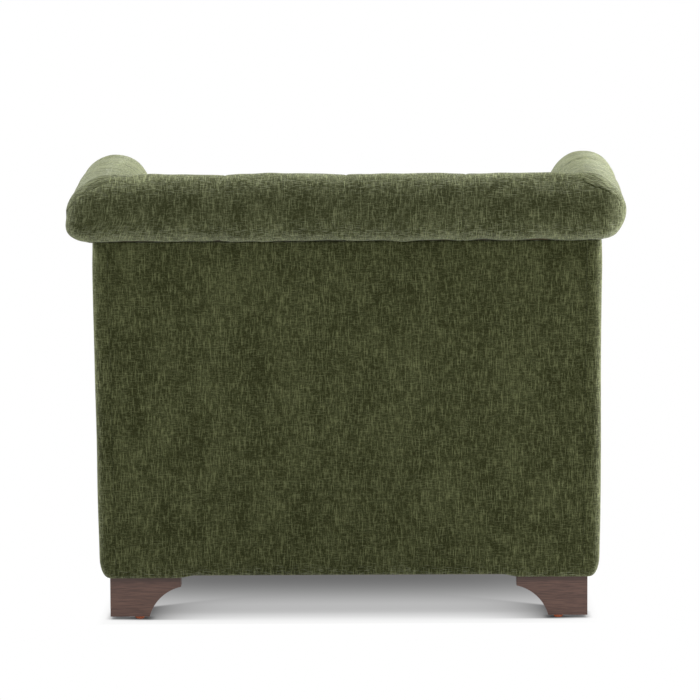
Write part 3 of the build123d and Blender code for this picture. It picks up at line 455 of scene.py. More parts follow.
# %% Buttoning
ROWS, FOLD_END = (0.062, 0.152, 0.242), 0.36
BACK_COLUMNS, BACK_HALF_STEP = np.array([-0.206, 0.0, 0.206]), 0.103
ARM_COLUMNS, ARM_HALF_STEP = np.array([-0.305, -0.110, 0.085]), 0.0975
LEAN_SPAN = (-0.01, 0.06)
SEAT_LINE, SEAT_DRAWN = (0.262, 0.300), 0.002
PILLOW, PILLOW_SPREAD, ROLL_PILLOW = 0.009, 0.042, 0.12
FOLD_DEPTH, FOLD_WIDTH = 0.009, 0.011
ROLL_FOLD, ROLL_FOLD_WIDTH, LEAN_FOLD = 0.0018, 0.0035, 0.004
DIMPLE = 0.0142
BUTTON_EDGE, DIMPLE_EDGE = 0.0105, 0.031


def run_distance(u, d, start, end):
    """Distance from each point to a straight run between two places on the face."""
    (ua, da), (ub, db) = start, end
    length = (ub - ua) ** 2 + (db - da) ** 2
    share = np.clip(((u - ua) * (ub - ua) + (d - da) * (db - da)) / length, 0, 1)
    return np.hypot(u - ua - share * (ub - ua), d - da - share * (db - da))


def diamonds(columns, half, between):
    """Buttons and folds of three staggered rows: each button joins its four neighbours, and the
    middle row has as many buttons as between says."""
    buttons = [(c, row) for row in (ROWS[0], ROWS[2]) for c in columns]
    buttons += [(c + half, ROWS[1]) for c in columns[:between]]
    folds = [
        ((c, row), (c + step, ROWS[1]))
        for row in (ROWS[0], ROWS[2])
        for c in columns
        for step in (-half, half)
    ]
    folds += [((c, ROWS[2]), (c, FOLD_END)) for c in columns]
    return buttons, folds


def buttoning(u, d, buttons, folds, over_roll):
    """Height of the cloth above its plain face.

    The swell rises as 1 - exp(-(distance / spread) squared) away from the folds, the crease falls
    off as exp(-distance / width), and round a button the cloth eases down to the button's seat.
    over_roll holds the distance to the fold lines that go over the roll, where all is shallower.
    """
    lean = np.min([run_distance(u, d, *fold) for fold in folds], axis=0)
    button = np.min([np.hypot(u - ub, d - db) for ub, db in buttons], axis=0)
    on_lean = ease(*LEAN_SPAN, d)
    nearest = np.minimum(lean, over_roll)
    above_seat = 1 - ease(*SEAT_LINE, d)
    fullness = ROLL_PILLOW + (1 - ROLL_PILLOW) * on_lean
    swell = PILLOW * fullness * (1 - np.exp(-((nearest / PILLOW_SPREAD) ** 2)))
    crease = FOLD_DEPTH * np.exp(-lean / FOLD_WIDTH) * on_lean
    roll_crease = np.exp(-over_roll / ROLL_FOLD_WIDTH) * (ROLL_FOLD + LEAN_FOLD * on_lean)
    sunk = 1 - ease(BUTTON_EDGE, DIMPLE_EDGE, button)
    puffed = (swell - crease) * (1 - sunk) - DIMPLE * sunk
    return puffed * above_seat - roll_crease * (1 - sunk) - SEAT_DRAWN * (1 - above_seat)


back_buttons, back_folds = diamonds(BACK_COLUMNS, BACK_HALF_STEP, 2)
arm_buttons, arm_folds = diamonds(ARM_COLUMNS, ARM_HALF_STEP, 3)
print("back:", len(back_buttons), "buttons,", len(back_folds), "folds; arm:", len(arm_folds), "folds")

# %% [markdown]
# ## Round the rear corners
# At each rear corner the back's roll turns into the arm's roll. The arm cover is folded over the
# back cover there, and the fold's edge shows as a curved line over the corner: it starts on top
# of the back roll, sweeps down over the outer quarter and ends on the arm's side. So both
# covers are walked round the corner in plan: straight along the back, round a quarter circle
# about the corner's upright axis, then straight along the arm.

# %% Corner walk
FOLD_ANGLE = np.array([13.0, 55, 90, 112, 124, 133, 146, 161, 169, 177, 200, 240, 274])
FOLD_RUN = 0.001 * np.array([0.0, -8, -18, -15, 0, 22, 41, 55, 68, 94, 122, 126, 90])
UNDERLAP = 0.014
NO_BEND = 1e-6


def corner_walk(t, s):
    """Plan place and inward direction on a line at inset t, a run s past the corner's arm side.

    Outside the roll's axis the line bends on a circle of radius (roll radius - t) through a right
    angle; inside it, the line has a plain mitre.
    """
    reach = np.maximum(ROLL_RADIUS - t, 0)
    deep = np.maximum(t, ROLL_RADIUS)
    bend = reach * np.pi / 2
    turn = np.where(bend > NO_BEND, np.clip(1 + s / np.maximum(bend, NO_BEND), 0, 1), s >= 0) * np.pi / 2
    x = HALF_WIDTH - deep + reach * np.sin(turn) - np.maximum(-s - bend, 0)
    y = REAR_Y - deep + reach * np.cos(turn) - np.maximum(s, 0)
    return x, y, -np.sin(turn), -np.cos(turn)


def fold_line(t, angle):
    """Run of the corner fold from the corner's arm side, on each line of the section."""
    on_arc = np.interp(angle, FOLD_ANGLE, FOLD_RUN) / ROLL_RADIUS
    reach = np.maximum(ROLL_RADIUS - t, 0)
    round_corner = np.where(on_arc > 0, reach * on_arc, ROLL_RADIUS * on_arc)
    past = np.maximum(np.interp(angle, FOLD_ANGLE, FOLD_RUN) - ROLL_RADIUS * np.pi / 2, 0)
    return np.where(on_arc > np.pi / 2, past, round_corner - reach * np.pi / 2)


corner = corner_walk(np.array([0.0, ROLL_RADIUS, 0.15]), np.array([-0.046, -0.01, 0.0]))
print("corner places:", np.round(np.stack(corner[:2], 1), 4).tolist())

# %% Settled corners
REAR_SPAN, CORNER_SPAN = (0.20, 0.36), (0.25, 0.38)
CORNER_TURN, LOW_TURN, TUCK_TURN = (60, 130), (175, 235), (215, 268)
SHOULDER_AT, SHOULDER_TURN = 128, 28
TUCK_LIFT = 0.004
LEFT_FULL, LEFT_DRAWN, LEFT_FALL = 0.016, 0.002, 0.008
RIGHT_DRAWN, RIGHT_SHOULDER, RIGHT_FALL = 0.004, 0.003, 0.004


def settle(points, angle):
    """Move the covers as stuffing settles: the back's roll is tucked a little higher than a circle,
    and the rear corners are pushed, down and fuller below on the left, inwards on the right."""
    x, y, z = np.moveaxis(points, -1, 0)
    rear = ease(*REAR_SPAN, y)
    near = ease(*CORNER_SPAN, np.abs(x)) * rear * ease(*CORNER_TURN, angle)
    low = ease(*LOW_TURN, angle)
    shoulder = np.exp(-(((angle - SHOULDER_AT) / SHOULDER_TURN) ** 2))
    left_out = LEFT_FULL * low - LEFT_DRAWN
    right_out = -RIGHT_DRAWN * (1 - low) - RIGHT_SHOULDER * shoulder
    out = np.where(x > 0, left_out, right_out)
    fall = np.where(x > 0, LEFT_FALL * (1 - low), RIGHT_FALL * shoulder)
    lift = TUCK_LIFT * rear * ease(*TUCK_TURN, angle)
    return np.stack([x + np.sign(x) * near * out, y, z - near * fall + lift], -1)


corners = np.array([[-HALF_WIDTH, REAR_Y, ROLL_Z], [HALF_WIDTH, REAR_Y, ROLL_Z]])
settled = settle(corners, np.array([180.0, 180.0]))
print("rear corners settle by", np.round(settled - corners, 4).tolist())

# %% Back cover
WALL_ROWS, LEAN_ROWS, ROLL_ROWS = 8, 74, 92
PLEAT_STEPS = 0.001 * np.array([[0.0, 0.8, 1.8, 3.2, 5.2, 8.0]])
PLEAT_CLEAR = 0.0112
BACK_DRIFT = np.array([0.007, 0.004, 0.013])
BROAD_RIPPLE, FINE_RIPPLE, SEAM_RIPPLE = (0.16, 0.0006), (0.07, 0.0004), (0.05, 0.0007)
INSIDE_SPAN, ROLL_TURN, DRIFT_TURN, SEAM_TURN = (20, 70), (30, 80), (70, 150), (212, 262)
CORNER_FLAT, CORNER_DENT, DENT_WIDTH = 0.03, 0.006, 0.014
LAP_PRESS, LAP_WIDTH = 0.0012, 0.02
rows_w = np.concatenate([
    np.linspace(0, 1, WALL_ROWS, endpoint=False),
    np.linspace(1, 2, LEAN_ROWS, endpoint=False),
    np.linspace(2, 3, ROLL_ROWS),
    [3.5, 4.0],
])[:, None]


def between_pleats(knots, columns):
    """Places from the first knot to the last: columns even steps in each span, with a few more that
    crowd against every inner knot, where a pleat is."""
    spans = []
    for number, (start, end) in enumerate(zip(knots[:-1], knots[1:])):
        first, last = number > 0, number < len(knots) - 2
        near = start + PLEAT_STEPS * first
        far = end - PLEAT_STEPS[:, ::-1] * last
        low, high = start + PLEAT_CLEAR * first, end - PLEAT_CLEAR * last
        middle = low + (high - low) * np.linspace(0, 1, columns[number])[None, :]
        spans += [near] * first + [middle] + [far] * last
    return np.concatenate(spans, axis=1)


def up_to_top_row(over, drop):
    """Distance to a fold over the roll: across it, and below the top row of buttons down to it too."""
    return np.where(drop < ROWS[0], over, np.abs(drop - ROWS[0]) + over)


def into_corner(h, inside, gap):
    """Height towards an inside corner: the puffing fades as exp(-gap / width), and the cloth dips."""
    dip = CORNER_DENT * inside * np.exp(-gap / DENT_WIDTH)
    return h * (1 - inside * np.exp(-gap / CORNER_FLAT)) - dip


def back_cover_points(columns):
    """The back cover: the section carried from corner to corner, puffed by the buttoning."""
    t, z, normal_t, normal_z, drop, angle = section(rows_w, REAR_ROLL)
    reach = np.maximum(ROLL_RADIUS - t, 0) * np.pi / 2
    edge = fold_line(t, angle) + UNDERLAP * ease(*INSIDE_SPAN, angle) + reach
    half = HALF_WIDTH - np.maximum(t, ROLL_RADIUS) + edge
    pleats = [c + d * ease(*DRIFT_TURN, angle) for c, d in zip(BACK_COLUMNS, BACK_DRIFT)]
    across = between_pleats([-half, *pleats, half], columns)
    run = np.abs(across) - half + edge - reach
    x, y, inward_x, inward_y = corner_walk(t, run)
    side = np.where(across < 0, -1.0, 1.0)
    x, inward_x = x * side, inward_x * side
    u = x + 0 * t
    over = np.min([np.where(u > pleat, u - pleat, 2 * (pleat - u)) for pleat in pleats], axis=0)
    h = buttoning(u, drop + 0 * u, back_buttons, back_folds, up_to_top_row(over, drop))
    corner_gap = np.maximum(half - np.abs(across), 0)
    h = into_corner(h, 1 - ease(*INSIDE_SPAN, angle), corner_gap)
    on_roll = ease(*ROLL_TURN, angle)
    h = h + on_roll * ripple(u, drop, *BROAD_RIPPLE) + ripple(u, drop, *FINE_RIPPLE)
    h = h + ease(*SEAM_TURN, angle) * ripple(u, 0 * drop, *SEAM_RIPPLE)
    h = h - on_roll * LAP_PRESS * np.exp(-corner_gap / LAP_WIDTH)
    points = np.stack([x + h * normal_t * inward_x, y + h * normal_t * inward_y, z + h * normal_z], -1)
    cloth = np.stack([across, -drop + 0 * across], -1)
    return settle(points, angle), cloth


back_points, back_cloth = back_cover_points((62, 54, 54, 62))
back_cover = grid_piece("back_cover_cloth", back_points, back_cloth)
dress(back_cover, "chair", olive_painted_lighter, ["back_cover", "back_foam"], thickness=COVER_WALL)

# %% Arm covers
EDGE_ROUND, EDGE_TUCK, EDGE_FLAT = 0.008, 0.011, 0.04
LIP_STEPS, LIP_END = (0, 0.0016, 0.0035, 0.006), 0.010
FOLD_LOWER, LOWER_TURN = {1: 0.0, -1: 11.0}, (90, 140)
LIP = {1: (0.0010, 0.045, 0.0014), -1: (0.0026, 0.022, 0.0040)}
LIP_EDGE = 0.0016
RIGHT_CROWN, CROWN_AT, CROWN_TURN = 0.0035, 95, 42
RIGHT_FLANK, FLANK_AT, FLANK_TURN, FLANK_SPAN = 0.0035, 172, 36, (0.05, 0.25)
RIGHT_START = 0.15
NO_FOLD = 0.2


def arm_cover_points(side, columns):
    """An arm cover: from its folded edge at the rear corner to a rolled edge at the arm front.

    The fold lies further round the roll on the right arm. Its lip swells as full exp(-gap / broad)
    and ends in a sharp edge, which falls off as exp(-gap / edge width).
    """
    plain = section(rows_w, REAR_ROLL)
    t0, angle = plain[0], plain[-1]
    start = fold_line(t0, angle - FOLD_LOWER[side] * ease(*LOWER_TURN, angle))
    end = REAR_Y - np.maximum(t0, ROLL_RADIUS) - FACING_Y
    share = np.concatenate([LIP_STEPS, np.linspace(LIP_END, 1, columns)])[None, :]
    run = start + share * (end - EDGE_ROUND - start)
    turn = np.linspace(0, np.pi / 2, 7)[None, 1:]
    tuck = np.array([[0.4, 1.0]])
    run = np.concatenate([run, end - EDGE_ROUND * (1 - np.sin(turn)), np.tile(end, (1, 2))], axis=1)
    fall = np.concatenate([
        0 * share, EDGE_ROUND * (1 - np.cos(turn)), EDGE_ROUND + EDGE_TUCK * tuck
    ], axis=1)
    x, y, inward_x, inward_y = corner_walk(t0 + 0 * run, run)
    t, z, normal_t, normal_z, drop, angle = section(rows_w + 0 * run, roll_along(y))
    x = x + np.where(run > 0, t0 - t, 0)
    over = np.min([np.abs(y - c) for c in ARM_COLUMNS], axis=0)
    over = np.where(run > 0, up_to_top_row(over, drop), NO_FOLD)
    h = buttoning(y, drop, arm_buttons, arm_folds, over)
    corner_gap = run - start
    inside = 1 - ease(*INSIDE_SPAN, angle)
    h = into_corner(h, inside, corner_gap) * ease(0.0, EDGE_FLAT, end - run)
    on_roll = 1 - inside
    full, broad, sharp = LIP[side]
    lip = full * np.exp(-corner_gap / broad) - sharp * np.exp(-corner_gap / LIP_EDGE)
    h = h + on_roll * lip + on_roll * ripple(y, drop, *BROAD_RIPPLE) + ripple(y, drop, *FINE_RIPPLE)
    if side == SIDES["right"]:
        crown = RIGHT_CROWN * np.exp(-(((angle - CROWN_AT) / CROWN_TURN) ** 2))
        flank = RIGHT_FLANK * np.exp(-(((angle - FLANK_AT) / FLANK_TURN) ** 2)) * (1 - ease(*FLANK_SPAN, y))
        h = h + (crown - flank) * ease(0.0, RIGHT_START, corner_gap)
    h = h - fall
    points = np.stack([
        side * (x + h * normal_t * inward_x), y + h * normal_t * inward_y, z + h * normal_z
    ], -1)
    return settle(points, angle), np.stack([run + fall, -drop], -1)


for name, side in SIDES.items():
    points, cloth = arm_cover_points(side, 200)
    piece = grid_piece(f"{name}_arm_cover_cloth", points, cloth, flip=side < 0)
    stands_for = [f"{name}_arm_cover", f"{name}_arm_foam"]
    dress(piece, "chair", olive_painted_lighter, stands_for, thickness=COVER_WALL)

# %% [markdown]
# ## The outside covers
# The outside back and the outside arms are flat cloths over card and a little wadding. Each is
# carried along a path in plan and up a profile: in under the body, round a soft lower edge, up
# the face, and over a small folded ledge under the roll. Moving the profile in from the path
# by the same amount everywhere rounds the lower rear corners, as a filleted box is rounded. At
# the front the hem runs straight on to the facing. It hangs a little below the rails, except in
# the middle of the outside back, between the feet.

# %% Outside cover helpers
BODY_X_TOP = 0.441
BODY_TAPER = {1: 0.007, -1: 0.004}
PANEL_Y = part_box("outside_back")[1].y
PANEL_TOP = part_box("outside_back")[1].z + TUCK_LIFT
HEM_IN, HEM_RISE, HEM_TUCK, HEM_DROOP = 0.016, 0.030, 0.028, 0.0045
TUCK_START, DROOP_LIMIT = 1.15, 1.1
LEDGE_ROUND, LEDGE_TUCK, LEDGE_STEP = 0.004, 0.012, 0.6
SWELL_LOW, SWELL_HIGH = 0.10, 0.05


def arc_steps(count):
    """Angles through a right angle, without the first."""
    return np.linspace(0, np.pi / 2, count + 1)[1:]


def rise_profile(bottom, top, rows):
    """Inset and height up the face of an outside cover: a tuck and a quarter ellipse for the hem, the
    plain face, then a quarter circle and a tuck for the ledge."""
    hem, ledge = np.insert(arc_steps(7), 0, 0), arc_steps(5)
    inset = np.concatenate([
        [HEM_TUCK, HEM_IN * TUCK_START], HEM_IN * (1 - np.sin(hem)),
        np.zeros(rows), LEDGE_ROUND * (1 - np.cos(ledge)), [LEDGE_TUCK * LEDGE_STEP, LEDGE_TUCK],
    ])
    face = np.linspace(0, 1, rows + 2)[1:-1]
    height_low = np.concatenate([[0, 0], HEM_RISE * (1 - np.cos(hem))])
    height_top = np.concatenate([LEDGE_ROUND * np.sin(ledge) - LEDGE_ROUND, [0, 0]])
    low, high = bottom + HEM_RISE, top - LEDGE_ROUND
    z = np.concatenate([bottom + height_low, low + face * (high - low), top + height_top])
    return inset[:, None], z[:, None]


def hem_inset(z):
    """How far the rounded hem is drawn in at a height: a quarter ellipse up to its rise."""
    share = np.clip((BODY_BOTTOM + HEM_RISE - z) / HEM_RISE, 0, 1)
    return HEM_IN * (1 - np.sqrt(1 - share**2))


def droop(inset, z):
    """How far the hem hangs below the rails: most at its lowest line, nothing above its rounding."""
    return HEM_DROOP * np.clip(1 - (z - BODY_BOTTOM) / HEM_RISE, 0, 1) * (inset < HEM_IN * DROOP_LIMIT)


def taper(z, side):
    """How far an outside arm is drawn in at a height."""
    return BODY_TAPER[side] * (ROLL_Z - z) / (ROLL_Z - BODY_BOTTOM)


def mid_face(z):
    """1 on the middle of an outside cover's face, easing to 0 at its hem and under the roll."""
    return ease(BODY_BOTTOM, BODY_BOTTOM + SWELL_LOW, z) * (1 - ease(PANEL_TOP - SWELL_HIGH, PANEL_TOP, z))


print("outside covers: from z", round(BODY_BOTTOM, 4), "to", round(PANEL_TOP, 4), "at y", round(PANEL_Y, 4))

# %% Outside back
WRAP_TOP, WRAP_LOW, WRAP_GAP = 0.0260, 0.0285, 0.0006
PANEL_HALF, PANEL_BACK, PANEL_SWELL = 0.43, 0.0025, 0.0022
SEAM_TUCK, SEAM_ROUND, SEAM_FLAT, SEAM_PULL = 0.010, 0.0035, 0.035, 0.012
DROOP_SPAN, EDGE_FULL = (0.266, 0.296), 0.35
PANEL_BROAD, PANEL_FINE = (0.30, 0.0008), (0.09, 0.0003)
TOP_PUCKER, SEAM_PUCKER = (0.045, 0.0006), (0.06, 0.0005)


def outside_back_points(columns):
    """The outside back: a flat cloth with soft swelling, drawn in at its two side seams.

    Across, the cloth is flat between two small quarter circles. The swelling rises from a seam as
    1 - exp(-gap / width), and the puckers fade from the top and from the seams as exp(-gap / width).
    """
    inset, z = rise_profile(BODY_BOTTOM, PANEL_TOP, 130)
    wrap = np.interp(z, [BODY_BOTTOM, PANEL_TOP], [WRAP_LOW, WRAP_TOP]) + WRAP_GAP
    turn = arc_steps(4)
    middle = np.linspace(-1, 1, columns)
    outer = 1 - SEAM_ROUND * (1 - np.sin(turn)) / PANEL_HALF
    bend = SEAM_ROUND * (1 - np.cos(turn))
    fall = np.concatenate([[SEAM_TUCK], bend[::-1], 0 * middle, bend, [SEAM_TUCK]])
    share = np.concatenate([[-1], -outer[::-1], middle * (1 - SEAM_ROUND / PANEL_HALF), outer, [1]])
    seam = np.where(share[None, :] > 0, BODY_X_TOP - taper(z, 1), BODY_X_TOP - taper(z, -1)) - wrap
    x = share[None, :] * seam
    gap = (1 - np.abs(share[None, :])) * seam
    face, up = 1 - np.exp(-gap / SEAM_FLAT), mid_face(z)
    swell = PANEL_SWELL * face * (EDGE_FULL + (1 - EDGE_FULL) * up) + ripple(x, z, *PANEL_BROAD) * up * face
    swell = swell + ripple(x, z, *PANEL_FINE) * face
    pucker = np.exp(-(PANEL_TOP - z) / SEAM_PULL) * ripple(x, 0 * z, *TOP_PUCKER)
    pull = np.exp(-gap / SEAM_PULL) * ripple(0 * x, z, *SEAM_PUCKER)
    y = PANEL_Y - PANEL_BACK - inset - fall[None, :] + swell + pucker + pull
    z = z - droop(inset, z) * ease(*DROOP_SPAN, np.abs(x))
    return np.stack([x, y, z], -1), np.stack([x, z], -1)


panel_points, panel_cloth = outside_back_points(200)
panel = grid_piece("outside_back_cloth", panel_points, panel_cloth, flip=True)
dress(panel, "chair", olive, ["outside_back"], thickness=COVER_WALL)

# %% Outside arms
CORNER_ROUND, FRONT_ROUND = 0.025, 0.006
ARM_BACK, ARM_SWELL, ARM_FLAT, ARM_RIPPLE = 0.0015, 0.0025, 0.05, (0.28, 0.0009)
STRIP_TUCK = np.array([[[0.0012, 0.0014]], [[0.003, 0.012]]])
STRIP_LEAST = 0.001
TOP_CLEAR, REAR_CLEAR = 0.001, 0.0005
MIDDLE_ROW = 60


def outside_arm_points(side):
    """An outside arm: front edge, long face, rounded rear edge and the strip wrapped onto the back."""
    face_y = np.linspace(FACING_Y + FRONT_ROUND, PANEL_Y - CORNER_ROUND, 150)
    front, rear = arc_steps(4), arc_steps(7)
    strip = np.linspace(0, 1, 6)[1:]
    x_path = np.concatenate([-FRONT_ROUND * (1 - np.cos(front))[::-1], 0 * face_y,
                             -CORNER_ROUND * (1 - np.cos(rear))])
    y_path = np.concatenate([FACING_Y + FRONT_ROUND * (1 - np.sin(front))[::-1], face_y,
                             PANEL_Y - CORNER_ROUND * (1 - np.sin(rear))])
    square = np.ones(len(front) + len(face_y))
    normal_x = np.concatenate([square, np.cos(rear)])
    normal_y = np.concatenate([0 * square, np.sin(rear)])
    inset, height, radius = roll_along(y_path)
    under = height - np.sqrt(radius**2 - (HALF_WIDTH - BODY_X_TOP - inset) ** 2) - ARM_BACK
    top = np.minimum(under + TUCK_LIFT * ease(*REAR_SPAN, y_path), PANEL_TOP + TOP_CLEAR)
    profile_inset, z = rise_profile(BODY_BOTTOM, PANEL_TOP, 120)
    z = BODY_BOTTOM + (z - BODY_BOTTOM) * (top[None, :] - BODY_BOTTOM) / (PANEL_TOP - BODY_BOTTOM)
    z = z - droop(profile_inset, z)
    gap = np.minimum(y_path - FACING_Y, PANEL_Y - y_path)[None, :]
    up = mid_face(z)
    swell = ARM_SWELL * up + ripple(y_path[None, :], z, *ARM_RIPPLE) * up
    swell = swell * (1 - np.exp(-gap / ARM_FLAT))
    out = swell - profile_inset - ARM_BACK
    x = BODY_X_TOP - taper(z, side) + x_path[None, :] + out * normal_x[None, :]
    y = y_path[None, :] + (out + REAR_CLEAR) * normal_y[None, :]
    wrap = np.interp(z[:, -1:], [BODY_BOTTOM, PANEL_TOP], [WRAP_LOW, WRAP_TOP])
    strip_x = x[:, -1:] - strip[None, :] * np.maximum(wrap - CORNER_ROUND + ARM_BACK, STRIP_LEAST)
    strip_y = np.tile(y[:, -1:], (1, len(strip)))
    x = np.concatenate([x, strip_x, strip_x[:, -1:] - STRIP_TUCK[0]], axis=1)
    y = np.concatenate([y, strip_y, strip_y[:, -1:] - STRIP_TUCK[1]], axis=1)
    z = np.concatenate([z, np.tile(z[:, -1:], (1, len(strip) + 2))], axis=1)
    row_x, row_y = x[MIDDLE_ROW], y[MIDDLE_ROW]
    step = np.hypot(np.diff(row_x, prepend=row_x[0]), np.diff(row_y, prepend=row_y[0]))
    cloth = np.stack([np.cumsum(step)[None, :] + 0 * z, z], -1)
    return np.stack([side * x, y, z], -1), cloth


for name, side in SIDES.items():
    points, cloth = outside_arm_points(side)
    piece = grid_piece(f"{name}_outside_arm_cloth", points, cloth, flip=side < 0)
    dress(piece, "chair", olive, [f"{name}_outside_arm"], thickness=COVER_WALL)

# %% [markdown]
# ## Arm facings and the front border
# The front of each arm is closed by a padded facing shaped like the arm's section, a scroll on a
# stem. For every height the facing reaches from the stem's outer edge, or the scroll's, to the
# inside edge; the padding rises quickly from that outline and is nearly flat in the middle.

# %% Facings
FACING_MARGIN = 0.005
FACING_PAD, PAD_ROUND, PAD_CROWN, CROWN_WIDTH = 0.0075, 0.016, 0.002, 0.03
FACING_GAP, EDGE_BACK, FRONT_REACH = 0.001, 0.003, 0.002
FACING_RIPPLE, RIPPLE_START = (0.09, 0.0004), 0.02
FRONT_ROLL = tuple(float(v) for v in roll_along(np.array(FACING_Y)))


def facing_points(side, columns):
    """A padded facing: straight lines across the outline at each height, raised by a rounded edge.

    The padding is a quarter circle of the distance to the outline, and a faint crown further in.
    """
    t_roll, z_roll, radius = FRONT_ROLL
    radius = radius - FACING_MARGIN
    foot_t = PAD_INSET - FACING_MARGIN
    across, rise = foot_t - t_roll, BEND_Z - z_roll
    touch = np.arctan2(rise, across) + np.arccos(radius / np.hypot(across, rise))
    stem_t = HALF_WIDTH - BODY_X_TOP + FACING_MARGIN
    under = 2 * np.pi - np.arccos((stem_t - t_roll) / radius)
    z_under = z_roll + radius * np.sin(under)
    z_low = np.linspace(BODY_BOTTOM, z_under, 90)
    turn = np.linspace(under, np.pi / 2, 70)[1:]
    outer_z = np.concatenate([z_low - droop(0, z_low), z_roll + radius * np.sin(turn)])
    stem = stem_t + taper(z_low, side) - taper(z_under, side) + hem_inset(z_low)
    outer_t = np.concatenate([stem, t_roll + radius * np.cos(turn)])
    climb = np.linspace(0, 1, len(outer_z))
    over = np.linspace(touch, np.pi / 2, 30)
    scroll = np.stack([t_roll + radius * np.cos(over), z_roll + radius * np.sin(over)], -1)
    inner_path = np.concatenate([
        np.linspace([foot_t, BODY_BOTTOM - HEM_DROOP], [foot_t, BEND_Z], 40, endpoint=False),
        np.linspace([foot_t, BEND_Z], scroll[0], 40, endpoint=False),
        scroll,
    ])
    inner_climb = np.linspace(0, 1, len(inner_path))
    inner_t = np.interp(climb, inner_climb, inner_path[:, 0])
    inner_z = np.interp(climb, inner_climb, inner_path[:, 1])
    share = (1 - np.cos(np.linspace(0, np.pi, columns)))[None, :] / 2
    t = outer_t[:, None] + share * (inner_t - outer_t)[:, None]
    z = outer_z[:, None] + share * (inner_z - outer_z)[:, None]
    outline = np.concatenate([np.stack([outer_t, outer_z], -1), inner_path[::-1]])
    edge = np.min(np.hypot(t[..., None] - outline[:, 0], z[..., None] - outline[:, 1]), axis=-1)
    pad = FACING_PAD * np.sqrt(1 - (1 - np.clip(edge / PAD_ROUND, 0, 1)) ** 2)
    pad = pad + PAD_CROWN * (1 - np.exp(-edge / CROWN_WIDTH))
    pad = pad + ripple(t, z, *FACING_RIPPLE) * ease(0, RIPPLE_START, edge)
    y = FACING_Y + FACING_GAP - pad
    y[:, [0, -1]] = FACING_Y + EDGE_BACK
    points = np.stack([side * (HALF_WIDTH - t), np.maximum(y, FRONT_Y - FRONT_REACH), z], -1)
    return points, np.stack([-t, z], -1)


for name, side in SIDES.items():
    points, cloth = facing_points(side, 40)
    piece = grid_piece(f"{name}_arm_facing_cloth", points, cloth, flip=side > 0)
    dress(piece, "chair", olive, [f"{name}_arm_facing"], thickness=FACING_WALL)

# %% Front border
border_low, border_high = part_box("front_border")
LOWER_ROUND, UPPER_ROUND, FACE_GAP = 0.004, 0.009, 0.002
UNDER_TUCK, TOP_TUCK = (0.016, 0.006), 0.018
BORDER_ROWS, BORDER_SIDE, BORDER_BACK = 60, 0.001, 0.0025
BORDER_SWELL, BORDER_FLAT, BORDER_RIPPLE = 0.002, 0.06, (0.2, 0.0006)


def front_border_points(columns):
    """The border under the cushion: a flat cloth over the rail between two quarter circles."""
    hem, top = np.insert(arc_steps(5), 0, 0), arc_steps(6)
    y = np.concatenate([UNDER_TUCK, LOWER_ROUND * (1 - np.sin(hem)), np.zeros(BORDER_ROWS),
                        UPPER_ROUND * (1 - np.cos(top)), [TOP_TUCK]])
    z_low, z_high = border_low.z - HEM_DROOP, border_high.z
    face = np.linspace(z_low + LOWER_ROUND + FACE_GAP, z_high - UPPER_ROUND - FACE_GAP, BORDER_ROWS)
    z = np.concatenate([[z_low, z_low], z_low + LOWER_ROUND * (1 - np.cos(hem)), face,
                        z_high - UPPER_ROUND * (1 - np.sin(top)), [z_high]])
    x = np.linspace(border_low.x + BORDER_SIDE, border_high.x - BORDER_SIDE, columns)[None, :]
    up = (ease(z_low, z_low + BORDER_FLAT, z) * (1 - ease(z_high - BORDER_FLAT, z_high, z)))[:, None]
    swell = BORDER_SWELL * up + ripple(x, z[:, None], *BORDER_RIPPLE) * up
    place_y = border_low.y + BORDER_BACK + y[:, None] - swell
    points = np.stack([x + 0 * place_y, place_y, z[:, None] + 0 * place_y], -1)
    return points, np.stack([points[..., 0], points[..., 2]], -1)


points, cloth = front_border_points(150)
border = grid_piece("front_border_cloth", points, cloth)
dress(border, "chair", olive, ["front_border"], thickness=COVER_WALL)

# %% [markdown]
# ## The loose seat cushion
# A boxed cushion has a border between two panels, and the stuffing pushes all three out. The
# natural way to get that is to let it happen: a slightly small cushion is blown up as cloth
# by Blender's own solver for a few steps. How far a point may go is capped, least at the sides,
# where the arms are close. The two seams are drawn in afterwards.

# %% Cushion start shape
cushion_low, cushion_high = (np.array(corner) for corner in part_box("cushion_cover"))
CUSHION_MIDDLE = (cushion_low + cushion_high) / 2
CUSHION_HALF = (cushion_high - cushion_low) / 2
CUSHION_EDGE = 0.150
SEAM_LOW, SEAM_HIGH = cushion_low[2] + 0.012, cushion_low[2] + CUSHION_EDGE - 0.008
SHRINK, SIDE_DRAWN = 0.005, 0.012
SUPER = 9.0
BORDER_IN, SEAM_RISE, BORDER_RISE, BORDER_TRIM, CROWN = 0.012, 0.006, 0.012, 0.018, 0.026
START_LIFT, START_DROP, ROUND_POWER, RISE_POWER = 0.003, 0.004, 12, 10
POLE = 0.004


def cushion_ring(angle):
    """Outline in plan: a superellipse, square with rounded corners, its sides drawn in a little."""
    c, s = np.cos(angle), np.sin(angle)
    size = (np.abs(c) ** SUPER + np.abs(s) ** SUPER) ** (-1 / SUPER)
    x, y = size * c, size * s
    return x * (1 - SIDE_DRAWN * (1 - y**2)), y * (1 - SIDE_DRAWN * (1 - x**2))


